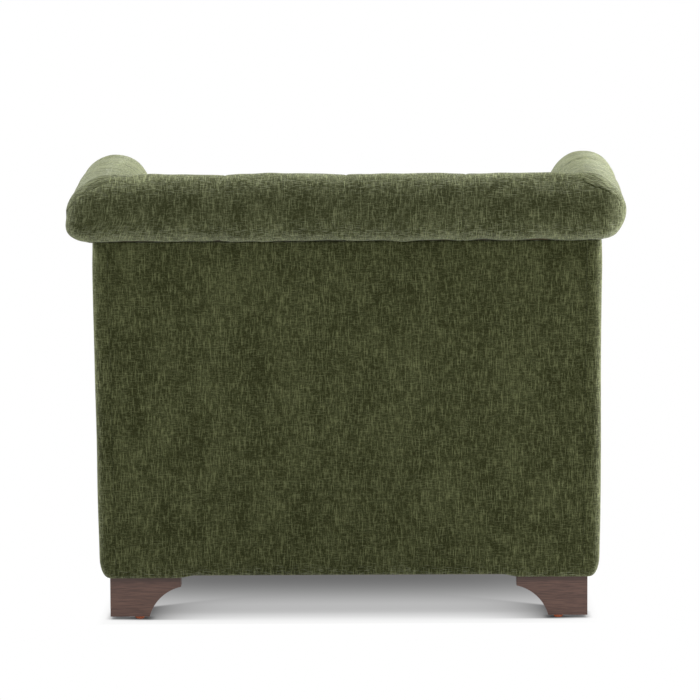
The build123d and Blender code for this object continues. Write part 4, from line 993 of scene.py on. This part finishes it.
def cushion_points(around, rows):
    """The cushion from the middle of its underside, up the border, to the crown of its top."""
    angle = np.linspace(0, 2 * np.pi, around, endpoint=False)[None, :]
    ring_x, ring_y = cushion_ring(angle)
    half = CUSHION_HALF[:2] - SHRINK
    under, top = np.linspace(POLE, 1, rows), np.linspace(1, POLE, rows)
    border = np.linspace(0, 1, 14)[1:-1]
    reach = np.concatenate([under, 1 + 0 * border, top])
    round_in = np.concatenate([BORDER_IN * under**ROUND_POWER, 0 * border, BORDER_IN * top**ROUND_POWER])
    low, high = cushion_low[2] + START_LIFT, cushion_low[2] + CUSHION_EDGE - START_DROP
    crown = CROWN * (1 - top**2)
    z = np.concatenate([low + SEAM_RISE * under**RISE_POWER,
                        low + BORDER_RISE + border * (high - low - BORDER_TRIM),
                        high - SEAM_RISE * top**RISE_POWER + crown])
    scale = (reach - round_in)[:, None]
    points = np.stack([
        CUSHION_MIDDLE[0] + half[0] * ring_x * scale,
        CUSHION_MIDDLE[1] + half[1] * ring_y * scale,
        z[:, None] + 0 * angle,
    ], -1)
    return points, np.stack([angle + 0 * scale, z[:, None] + 0 * angle], -1)


points, cloth = cushion_points(240, 30)
cushion = grid_piece("seat_cushion_cloth", points, cloth, ring=True)
close_ends(cushion)
print("cushion start:", len(cushion.data.vertices), "points")


# %% Blow up the cushion
def apply_modifiers(piece):
    """Make what the modifiers give the piece's own mesh."""
    graph = bpy.context.evaluated_depsgraph_get()
    mesh = bpy.data.meshes.new_from_object(piece.evaluated_get(graph))
    piece.modifiers.clear()
    old, piece.data = piece.data, mesh
    bpy.data.meshes.remove(old)


def coordinates(mesh):
    """All vertex places of a mesh as one array."""
    flat = np.empty(len(mesh.vertices) * 3, dtype=np.float32)
    mesh.vertices.foreach_get("co", flat)
    return flat.reshape(-1, 3).astype(float)


QUICK_GRID, FINE_GRID = 0.012, 0.006
PRESSURE, STEPS = 4.0, 20
remesh = cushion.modifiers.new("even grid", "REMESH")
remesh.mode = "VOXEL"
remesh.voxel_size = FINE_GRID
apply_modifiers(cushion)
before = coordinates(cushion.data)
stuff = cushion.modifiers.new("stuffing", "CLOTH")
stuff.settings.use_pressure = True
stuff.settings.uniform_pressure_force = PRESSURE
stuff.settings.quality = 4
stuff.settings.effector_weights.gravity = 0.0
stuff.collision_settings.use_collision = False
for step in range(1, STEPS + 1):
    scene.frame_set(step)
apply_modifiers(cushion)
scene.frame_set(1)
move = coordinates(cushion.data) - before
print("cushion: largest move", np.round(np.abs(move).max(axis=0), 4))

# %% Cap the swelling and draw in the seams
CAP = np.array([0.008, 0.008, 0.024])
SIDE_GAP, TOP_REACH = 0.0005, 0.004
SEAM_DEPTH, SEAM_WIDTH, BORDER_SPAN = 0.0042, 0.0038, (0.90, 0.965)
BESIDE_RISE, BESIDE_SEAM, BESIDE_WIDTH = 0.0012, 0.009, 0.006
GATHERS, GATHER_SHARE, GATHER_REACH = 60, 0.25, 0.02
ZIP_DEPTH, ZIP_HALF, ZIP_MIDDLE, ZIP_INSET = 0.03, 0.012, 0.002, 0.0012
zip_low, zip_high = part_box("cushion_zip")
after = before + CAP * np.tanh(move / CAP)
after[:, 2] = np.maximum(after[:, 2], cushion_low[2])
after = np.clip(after, cushion_low + SIDE_GAP, cushion_high + TOP_REACH)
cushion.data.vertices.foreach_set("co", after.astype(np.float32).ravel())
smooth = cushion.modifiers.new("fine grid", "SUBSURF")
smooth.levels = smooth.render_levels = 1
apply_modifiers(cushion)
place = coordinates(cushion.data)
local = (place - CUSHION_MIDDLE) / CUSHION_HALF
edge = (np.abs(local[:, 0]) ** SUPER + np.abs(local[:, 1]) ** SUPER) ** (1 / SUPER)
outer = ease(*BORDER_SPAN, edge)
seam = np.minimum(np.abs(place[:, 2] - SEAM_LOW), np.abs(place[:, 2] - SEAM_HIGH))
around = np.arctan2(local[:, 1], local[:, 0])
groove = SEAM_DEPTH * np.exp(-((seam / SEAM_WIDTH) ** 2))
groove = groove - BESIDE_RISE * np.exp(-(((seam - BESIDE_SEAM) / BESIDE_WIDTH) ** 2))
gather = 1 + GATHER_SHARE * np.sin(around * GATHERS) * np.exp(-((seam / GATHER_REACH) ** 2))
outward = local[:, :2] / np.maximum(np.abs(local[:, :2]).max(axis=1), 0.5)[:, None]
place[:, :2] -= (outer * groove * gather)[:, None] * outward
zip_band = place[:, 1] > cushion_high[1] - ZIP_DEPTH
zip_band &= np.abs(place[:, 2] - zip_low.z - ZIP_MIDDLE) < ZIP_HALF
place[zip_band, 1] = np.minimum(place[zip_band, 1], zip_high.y - ZIP_INSET)
cushion.data.vertices.foreach_set("co", place.astype(np.float32).ravel())
cushion.data.update()


def box_cloth(mesh):
    """A cloth map for a free form: each face takes the two axes that it faces least."""
    count = len(mesh.polygons)
    normal = np.empty(count * 3, dtype=np.float32)
    mesh.polygons.foreach_get("normal", normal)
    axis = np.abs(normal.reshape(-1, 3)).argmax(axis=1)
    totals = np.empty(count, dtype=np.int32)
    mesh.polygons.foreach_get("loop_total", totals)
    corner_axis = np.repeat(axis, totals)
    corner = np.empty(len(mesh.loops), dtype=np.int32)
    mesh.loops.foreach_get("vertex_index", corner)
    spot = coordinates(mesh)[corner]
    u = np.where(corner_axis == 0, spot[:, 1], spot[:, 0])
    v = np.where(corner_axis == 2, spot[:, 1], spot[:, 2])
    layer = mesh.uv_layers.get("cloth") or mesh.uv_layers.new(name="cloth")
    layer.uv.foreach_set("vector", np.stack([u, v], -1).astype(np.float32).ravel())
    mesh.polygons.foreach_set("use_smooth", np.ones(count, dtype=bool))


box_cloth(cushion.data)
dress(cushion, "seat_cushion", olive, ["cushion_cover", "cushion_core"])

# %% [markdown]
# ## The deck
# Under the cushion lies a thin pad in plain deck cloth, which only shows when the cushion is
# lifted. It is made of rings, like the cushion, but its form is plain enough to need no solver.

# %% Seat deck
DECK_REACH = np.array([0.002, 0.0, 0.0])
SQUARENESS = 60
DECK_CROWN, DECK_ROUND, PAD_POLE = 0.004, 0.003, 0.003
deck_low, deck_high = (np.array(corner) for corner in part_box("seat_deck"))


def slab_points(low, high, around, rows, crown, edge):
    """A closed pad: rings that grow from the middle of the underside and shrink over the top."""
    angle = np.linspace(0, 2 * np.pi, around, endpoint=False)[None, :]
    c, s = np.cos(angle), np.sin(angle)
    size = (np.abs(c) ** SQUARENESS + np.abs(s) ** SQUARENESS) ** (-1 / SQUARENESS)
    turn = np.linspace(-np.pi / 2, np.pi / 2, 9)
    under, top = np.linspace(PAD_POLE, 1, rows)[:-1], np.linspace(1, PAD_POLE, rows)[1:]
    reach = np.concatenate([under, 1 + 0 * turn, top])[:, None]
    inset = edge * np.concatenate([1 + 0 * under, 1 - np.cos(turn), 1 + 0 * top])[:, None]
    side = (low[2] + high[2] - crown) / 2 + (high[2] - crown - low[2]) / 2 * np.sin(turn)
    z = np.concatenate([low[2] + 0 * under, side, high[2] - crown * top**4])
    middle, half = (low + high) / 2, (high - low) / 2
    x = middle[0] + (half[0] - inset) * reach * size * c
    y = middle[1] + (half[1] - inset) * reach * size * s
    points = np.stack([x, y, z[:, None] + 0 * x], -1)
    return points, np.stack([x, y], -1)


points, cloth = slab_points(
    deck_low - DECK_REACH, deck_high + DECK_REACH, 160, 20, DECK_CROWN, DECK_ROUND
)
deck = grid_piece("seat_deck_cloth", points, cloth, ring=True)
close_ends(deck)
dress(deck, "chair", deck_cloth, ["seat_deck"])

# %% [markdown]
# ## Timber, plastic and the hidden materials
# The feet are dark stained hardwood with a satin lacquer. The grain runs along each bracket
# board, so the noise is stretched along x on faces that look forwards or back and along y on
# faces that look sideways. Edges are a little lighter, where lacquer wears first: the Bevel node
# gives a rounded normal near edges, and where it leaves the true normal there is an edge. Just
# under the hem the wood's colour is painted darker, as painted shade, because hardly any light
# gets there.

# %% Grain group
BROAD_SHARE, LINE_SHARE = 0.22, 0.78
BROAD_SCALE, LINE_SCALE, PORE_SCALE = (5, 60, 60), (34, 1100, 1100), (45, 1500, 1500)
GRAIN_RANGE, PORE_RANGE, PORE_DEPTH = (0.28, 0.72), (0.58, 0.72), 0.35
grain, grain_in, grain_out = group_of(
    "wood grain",
    [
        ("Place", "NodeSocketVector", None),
        ("Dark", "NodeSocketColor", srgb(60, 44, 38)),
        ("Light", "NodeSocketColor", srgb(110, 86, 74)),
    ],
    [("Colour", "NodeSocketColor", None), ("Height", "NodeSocketFloat", None)],
)
spot = grain_in.outputs["Place"]
broad = stretched_noise(grain, spot, BROAD_SCALE, (-1150, 300), detail=3.0)
lines = stretched_noise(grain, spot, LINE_SCALE, (-1150, 80), detail=3.0, roughness=0.6)
pores = stretched_noise(grain, spot, PORE_SCALE, (-1150, -140), detail=2.0)
mixed = calc(grain, "ADD", (-500, 240), calc(grain, "MULTIPLY", (-640, 300), broad, BROAD_SHARE),
             calc(grain, "MULTIPLY", (-640, 80), lines, LINE_SHARE))
mixed = spread(grain, mixed, *GRAIN_RANGE, (-340, 240))
pore = spread(grain, pores, *PORE_RANGE, (-500, -140), 0.0, PORE_DEPTH)
tone = calc(grain, "SUBTRACT", (-140, 160), mixed, pore, clamp=True)
grain.links.new(blend_colour(grain, tone, grain_in.outputs["Dark"], grain_in.outputs["Light"], (120, 120)),
                grain_out.inputs["Colour"])
grain.links.new(calc(grain, "SUBTRACT", (120, -120), lines, pore), grain_out.inputs["Height"])
print("grain group:", len(grain.nodes), "nodes")

# %% Wood materials
GRAIN_BUMP, GRAIN_HEIGHT, COAT_ROUGHNESS = 0.25, 0.0005, 0.35
SIDEWAYS = 0.6
EDGE_RADIUS, EDGE_RANGE, EDGE_WEAR = 0.002, (0.80, 0.99), 0.55
UNDER_HEM, UNDER_HEM_SHADE = (BODY_BOTTOM - 0.016, BODY_BOTTOM - 0.010), 0.75


def timber(name, dark, light, roughness, coat, wear_and_painted_shade=None):
    """Wood with its grain along each board and, if a wear colour is given, lighter edges where
    the lacquer wears and a darker top: painted shade under the hem.
    """
    material, tree, shader = plain_shader(name)
    coords = add_node(tree, "ShaderNodeTexCoord", (-1200, 0))
    turned = add_node(tree, "ShaderNodeMapping", (-1000, -200))
    turned.inputs["Rotation"].default_value = (0, 0, np.pi / 2)
    tree.links.new(coords.outputs["Object"], turned.inputs["Vector"])
    parts = add_node(tree, "ShaderNodeSeparateXYZ", (-1000, 200))
    tree.links.new(coords.outputs["Normal"], parts.inputs[0])
    sideways = calc(tree, "ABSOLUTE", (-900, 200), parts.outputs["X"])
    sideways = calc(tree, "GREATER_THAN", (-800, 200), sideways, SIDEWAYS)
    pick = add_node(tree, "ShaderNodeMix", (-640, 0), data_type="VECTOR")
    tree.links.new(sideways, pick.inputs[0])
    tree.links.new(coords.outputs["Object"], pick.inputs[4])
    tree.links.new(turned.outputs[0], pick.inputs[5])
    wood = add_node(tree, "ShaderNodeGroup", (-420, 0), node_tree=grain)
    tree.links.new(pick.outputs[1], wood.inputs["Place"])
    wood.inputs["Dark"].default_value = dark
    wood.inputs["Light"].default_value = light
    colour = wood.outputs["Colour"]
    bump = add_node(tree, "ShaderNodeBump", (60, -260), Strength=GRAIN_BUMP, Distance=GRAIN_HEIGHT)
    tree.links.new(wood.outputs["Height"], bump.inputs["Height"])
    if wear_and_painted_shade:
        soft = add_node(tree, "ShaderNodeBevel", (-420, -320), samples=6, Radius=EDGE_RADIUS)
        true = add_node(tree, "ShaderNodeNewGeometry", (-420, -480))
        match = add_node(tree, "ShaderNodeVectorMath", (-220, -380), operation="DOT_PRODUCT")
        tree.links.new(soft.outputs[0], match.inputs[0])
        tree.links.new(true.outputs["True Normal"], match.inputs[1])
        edge_mask = spread(tree, match.outputs["Value"], *EDGE_RANGE, (-60, -420), EDGE_WEAR, 0.0)
        colour = blend_colour(tree, edge_mask, colour, wear_and_painted_shade, (60, 60))
        # Painted shade: just under the hem the colour turns to the dark grain colour, where little light
        # gets.
        level = add_node(tree, "ShaderNodeSeparateXYZ", (-640, 400))
        tree.links.new(coords.outputs["Object"], level.inputs[0])
        painted_hem_shade = spread(tree, level.outputs["Z"], *UNDER_HEM, (-220, 300), 0.0, UNDER_HEM_SHADE)
        colour = blend_colour(tree, painted_hem_shade, colour, dark, (200, 160))
        tree.links.new(soft.outputs[0], bump.inputs["Normal"])
    tree.links.new(colour, shader.inputs["Base Color"])
    tree.links.new(bump.outputs[0], shader.inputs["Normal"])
    shader.inputs["Roughness"].default_value = roughness
    shader.inputs["Coat Weight"].default_value = coat
    shader.inputs["Coat Roughness"].default_value = COAT_ROUGHNESS
    return material


foot_wood = timber("dark foot timber", srgb(66, 42, 33), srgb(118, 86, 73), 0.45, 0.12, srgb(136, 104, 90))
frame_wood = timber("sawn frame timber", srgb(168, 132, 92), srgb(214, 184, 142), 0.8, 0.0)
print("wood materials:", foot_wood.name, frame_wood.name)

# %% Plain hidden finishes
SPECK_BUMP, SPECK_HEIGHT = 0.3, 0.0004


def speckled(name, base, other, scale, roughness, metallic=0.0):
    """A finish whose colour and surface vary with fine noise on object coordinates."""
    material, tree, shader = plain_shader(name)
    coords = add_node(tree, "ShaderNodeTexCoord", (-700, 0))
    noise = stretched_noise(tree, coords.outputs["Object"], scale, (-520, 0), detail=3.0)
    tree.links.new(blend_colour(tree, noise, base, other, (-60, 60)), shader.inputs["Base Color"])
    bump = add_node(tree, "ShaderNodeBump", (60, -260), Strength=SPECK_BUMP, Distance=SPECK_HEIGHT)
    tree.links.new(noise, bump.inputs["Height"])
    tree.links.new(bump.outputs[0], shader.inputs["Normal"])
    shader.inputs["Roughness"].default_value = roughness
    shader.inputs["Metallic"].default_value = metallic
    return material


foam = speckled("open-cell foam", srgb(222, 211, 170), srgb(235, 226, 190), (400, 400, 400), 0.95)
webbing = speckled("jute webbing", srgb(128, 108, 76), srgb(170, 148, 110), (900, 60, 900), 0.95)
card = speckled("grey-brown card", srgb(140, 118, 92), srgb(160, 138, 110), (120, 120, 60), 0.9)
dust_cloth = speckled("black dust cloth", srgb(14, 14, 14), srgb(34, 34, 34), (700, 700, 700), 0.95)
wire = speckled("plain spring wire", srgb(120, 120, 122), srgb(160, 160, 160), (200, 60, 200), 0.35, 1.0)
zip_metal = speckled("dull zip metal", srgb(120, 100, 64), srgb(160, 138, 90), (600, 900, 900), 0.4, 1.0)
glide = speckled("orange glide plastic", srgb(246, 132, 84), srgb(255, 158, 112), (160, 160, 160), 0.4)
finishes = {
    "frame_timber": frame_wood, "foot_timber": foot_wood, "cover_cloth": olive_button, "foam": foam,
    "webbing": webbing, "card": card, "deck_cloth": deck_cloth, "dust_cloth": dust_cloth,
    "spring_steel": wire, "zip_metal": zip_metal, "glide_plastic": glide,
}
for part in frame["record"]["subparts"]:
    node = frame["nodes"][part["node"]]
    node.data.materials.clear()
    node.data.materials.append(finishes[part["material_slot"]])

# %% [markdown]
# ## The dust cover
# Under the chair a thin black cloth is tacked to the rails all round. It hides the springs and
# shows only when the chair is turned up. Tight cloth needs no solver: a flat grid with a slight
# sag, and small waves between the tacks along its edges, is the form it has.

# %% Dust cover
SAG, TACK_WAVE = 0.004, 0.0006
WAVES_ACROSS, WAVES_ALONG, EDGE_FADE = 40, 30, 12
dust_low, dust_high = (np.array(corner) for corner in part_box("dust_cover"))


def dust_cover_points(rows, columns):
    """The black cloth under the chair: a sag of (1 - u squared)(1 - v squared), and waves at the edges."""
    u, v = np.linspace(-1, 1, columns)[None, :], np.linspace(-1, 1, rows)[:, None]
    middle, half = (dust_low + dust_high) / 2, (dust_high - dust_low) / 2
    sag = SAG * (1 - u**2) * (1 - v**2)
    sag = sag + TACK_WAVE * np.cos(WAVES_ACROSS * u) * v**EDGE_FADE
    sag = sag + TACK_WAVE * np.cos(WAVES_ALONG * v) * u**EDGE_FADE
    x, y = middle[0] + half[0] * u + 0 * v, middle[1] + half[1] * v + 0 * u
    points = np.stack([x, y, dust_high[2] - sag], -1)
    return points, points[..., :2]


points, cloth = dust_cover_points(60, 70)
dust = grid_piece("dust_cover_cloth", points, cloth, flip=True)
dress(dust, "chair", dust_cloth, ["dust_cover"], thickness=DUST_WALL)

# %% [markdown]
# ## The studio floor
# The chair stands on a white studio floor. Away from it, camera rays see the floor as plain
# white, as they see the world, while every other ray sees an ordinary white floor and an even
# sky. A shadow in a studio picture is softer than these lamps give. So under the chair camera
# rays see mostly a painted shadow, a tone that depends on the place on the floor: a ramp from
# the darkest line to the open floor, a painted streak that runs in from each foot, and a little
# contact shade painted from ambient occlusion.

# %% Floor
FLOOR_HALF = 30.0
MIDDLE_Y = -0.0215
DARKEST_Y, SHADOW_REACH = -0.12, 0.52
# Painted shadow: grey levels under the chair, from the darkest line out to the open floor.
PAINTED_SHADOW_TONES = (
    (0.0, 0.165), (0.28, 0.32), (0.53, 0.47), (0.65, 0.53),
    (0.80, 0.53), (0.86, 0.575), (0.945, 0.775), (1.0, 1.0),
)
FLOOR_GREY = (0.84, 0.84, 0.84, 1)
corner_sign = np.array([[[-1, -1], [1, -1]], [[-1, 1], [1, 1]]])
floor_points = np.concatenate([corner_sign * FLOOR_HALF, np.zeros((2, 2, 1))], -1)
floor = grid_piece("studio_floor", floor_points, floor_points[..., :2])
floor_material = bpy.data.materials.new("white studio floor")
floor_material.use_nodes = True
tree = floor_material.node_tree
tree.nodes.clear()
matt = add_node(tree, "ShaderNodeBsdfDiffuse", (0, 0), Color=FLOOR_GREY)
white = add_node(tree, "ShaderNodeEmission", (0, -200), Strength=1.0)
coords = add_node(tree, "ShaderNodeTexCoord", (-1500, -200))
axes = add_node(tree, "ShaderNodeSeparateXYZ", (-1300, -200))
tree.links.new(coords.outputs["Object"], axes.inputs[0])
side = calc(tree, "ABSOLUTE", (-1100, -100), axes.outputs["X"])
along = calc(tree, "SUBTRACT", (-1100, -300), axes.outputs["Y"], MIDDLE_Y)
along = calc(tree, "ABSOLUTE", (-950, -300), along)
from_dark = calc(tree, "SUBTRACT", (-1100, -500), axes.outputs["Y"], DARKEST_Y)
from_dark = calc(tree, "ABSOLUTE", (-950, -500), from_dark)
tones = add_node(tree, "ShaderNodeValToRGB", (-600, -500))
tree.links.new(spread(tree, from_dark, 0.0, SHADOW_REACH, (-780, -500)), tones.inputs[0])
for place, tone in PAINTED_SHADOW_TONES[1:-1]:
    tones.color_ramp.elements.new(place)
for stop, (place, tone) in zip(tones.color_ramp.elements, PAINTED_SHADOW_TONES):
    stop.position, stop.color = place, (tone, tone, tone, 1)
print("floor tones:", [tone for place, tone in PAINTED_SHADOW_TONES])

# %% Foot shadows and open floor
SOLE_X, STREAK_WIDTH, FOOT_SHADOW = 0.347, 0.049, 0.74
STREAK_SLOPE, STREAK_START, STREAK_SOFT = 0.7, -0.008, 0.012
STREAK_END = (0.368, 0.382)
OPEN_X, OPEN_Y = (0.36, 0.44), (0.388, 0.424)
CONTACT = 0.012
PAINTED = 0.9


def studio_rays(tree, x, y):
    """1 for the rays that show the white studio: camera, glossy and transmission rays."""
    path = add_node(tree, "ShaderNodeLightPath", (x, y))
    glossy, through = path.outputs["Is Glossy Ray"], path.outputs["Is Transmission Ray"]
    either = calc(tree, "MAXIMUM", (x + 150, y - 100), glossy, through)
    return calc(tree, "MAXIMUM", (x + 300, y), path.outputs["Is Camera Ray"], either)


def blend_to_output(tree, kind, share, first, second):
    """Two shaders, mixed by a share, sent to an output node."""
    mix = add_node(tree, "ShaderNodeMixShader", (400, 0))
    for socket, source in zip(mix.inputs, (share, first.outputs[0], second.outputs[0])):
        tree.links.new(source, socket)
    output = add_node(tree, kind, (600, 0))
    tree.links.new(mix.outputs[0], output.inputs["Surface"])


# Painted shadow streak: darkens the painted floor inwards from each foot's sole.
inward = calc(tree, "ABSOLUTE", (-780, -100), calc(tree, "SUBTRACT", (-900, -100), SOLE_X, side))
fade = calc(tree, "EXPONENT", (-500, -100), calc(tree, "DIVIDE", (-640, -100), inward, -STREAK_WIDTH))
start = calc(tree, "MULTIPLY_ADD", (-780, -260), side, STREAK_SLOPE, STREAK_START)
begun = calc(tree, "SUBTRACT", (-640, -260), along, start)
begun = spread(tree, begun, -STREAK_SOFT, STREAK_SOFT, (-500, -260))
ended = spread(tree, along, *STREAK_END, (-640, -380), 1.0, 0.0)
streak = calc(tree, "MULTIPLY", (-340, -200), calc(tree, "MULTIPLY", (-340, -100), fade, begun), ended)
kept = calc(tree, "MULTIPLY_ADD", (-200, -200), streak, -FOOT_SHADOW, 1.0)
under = calc(tree, "MULTIPLY", (-60, -300), tones.outputs[0], kept)
beyond_x = spread(tree, side, *OPEN_X, (-500, 100))
beyond_y = spread(tree, along, *OPEN_Y, (-500, 0))
open_floor = calc(tree, "MAXIMUM", (-340, 60), beyond_x, beyond_y)
near = add_node(tree, "ShaderNodeAmbientOcclusion", (-340, -640), samples=8, Distance=CONTACT)
# The emission's strength is the painted shadow, eased to white on the open floor and darkened by ambient
# occlusion as painted contact shade.
pale = calc(tree, "SUBTRACT", (80, -60), 1.0, under)
pale = calc(tree, "MULTIPLY_ADD", (80, -200), pale, open_floor, under)
pale = calc(tree, "MULTIPLY", (220, -300), pale, near.outputs["AO"], clamp=True)
tree.links.new(pale, white.inputs["Strength"])
share = calc(tree, "MAXIMUM", (60, 200), open_floor, PAINTED)
share = calc(tree, "MULTIPLY", (200, 300), studio_rays(tree, -700, 400), share)
blend_to_output(tree, "ShaderNodeOutputMaterial", share, matt, white)
floor.data.materials.append(floor_material)
print("floor material:", len(tree.nodes), "nodes")

# %% [markdown]
# ## World and lamps
# Most of the light comes down from a large overhead lamp, so tops are bright and upright faces
# are darker. A weaker lamp beyond the seat and one behind the camera light what faces them, and
# a lamp low at each side draws a light line along the outside arms. All are area lamps, because a
# studio's soft boxes are, and the world adds an even sky.

# %% World and lamps
SKY = 0.55
WHITE = (1, 1, 1, 1)
world = scene.world or bpy.data.worlds.new("studio")
scene.world = world
world.use_nodes = True
tree = world.node_tree
tree.nodes.clear()
sky = add_node(tree, "ShaderNodeBackground", (0, 100), Strength=SKY, Color=WHITE)
backdrop = add_node(tree, "ShaderNodeBackground", (0, -100), Strength=1.0, Color=WHITE)
blend_to_output(tree, "ShaderNodeOutputWorld", studio_rays(tree, -600, 300), sky, backdrop)


def soft_lamp(name, place, target, size, power):
    """A square area lamp at a place, turned to a target."""
    lamp = bpy.data.lights.new(name, "AREA")
    lamp.shape, lamp.size, lamp.energy = "SQUARE", size, power
    holder = bpy.data.objects.new(name, lamp)
    holder.location = place
    holder.rotation_euler = (Vector(target) - Vector(place)).to_track_quat("-Z", "Y").to_euler()
    scene.collection.objects.link(holder)


soft_lamp("overhead", (-0.3, -0.9, 3.4), (0, -0.1, 0.4), 2.8, 122.0)
soft_lamp("far_key", (-0.4, -3.4, 1.9), (0, 0, 0.5), 2.4, 28.0)
soft_lamp("near_fill", (-0.2, 4.6, 1.8), (0, 0.3, 0.4), 2.5, 15.8)
soft_lamp("left_edge", (3.0, -1.3, 1.3), (0.4, 0.2, 0.4), 1.6, 45.0)
soft_lamp("right_edge", (-3.2, -1.2, 0.7), (-0.4, 0.2, 0.4), 1.6, 200.0)

# %% [markdown]
# ## Camera
# The picture is taken from behind, from far away with a long lens, so the sides hardly converge.
# The camera's place, its turns and the focal length in pixels were found from the outline of the
# chair in the picture. The colours are shown as they are, with the Standard view.

# %% Camera
CAMERA_PLACE = Vector((-0.0433, 6.415, 1.0452))
YAW, PITCH, ROLL = np.radians([0.368, 5.42, -0.30])
FOCAL_PIXELS, FRAME_PIXELS = 3527.0, 700.0
aim = Vector((np.sin(YAW) * np.cos(PITCH), -np.cos(YAW) * np.cos(PITCH), -np.sin(PITCH)))
lens = bpy.data.cameras.new("camera")
lens.sensor_width = 36.0
lens.lens = FOCAL_PIXELS / FRAME_PIXELS * lens.sensor_width
lens.clip_end = 100.0
camera = bpy.data.objects.new("camera", lens)
camera.location = CAMERA_PLACE
camera.rotation_mode = "QUATERNION"
camera.rotation_quaternion = aim.to_track_quat("-Z", "Y") @ Quaternion((0, 0, 1), ROLL)
scene.collection.objects.link(camera)
scene.camera = camera
scene.view_settings.view_transform = "Standard"
print("lens:", round(lens.lens, 1), "mm")
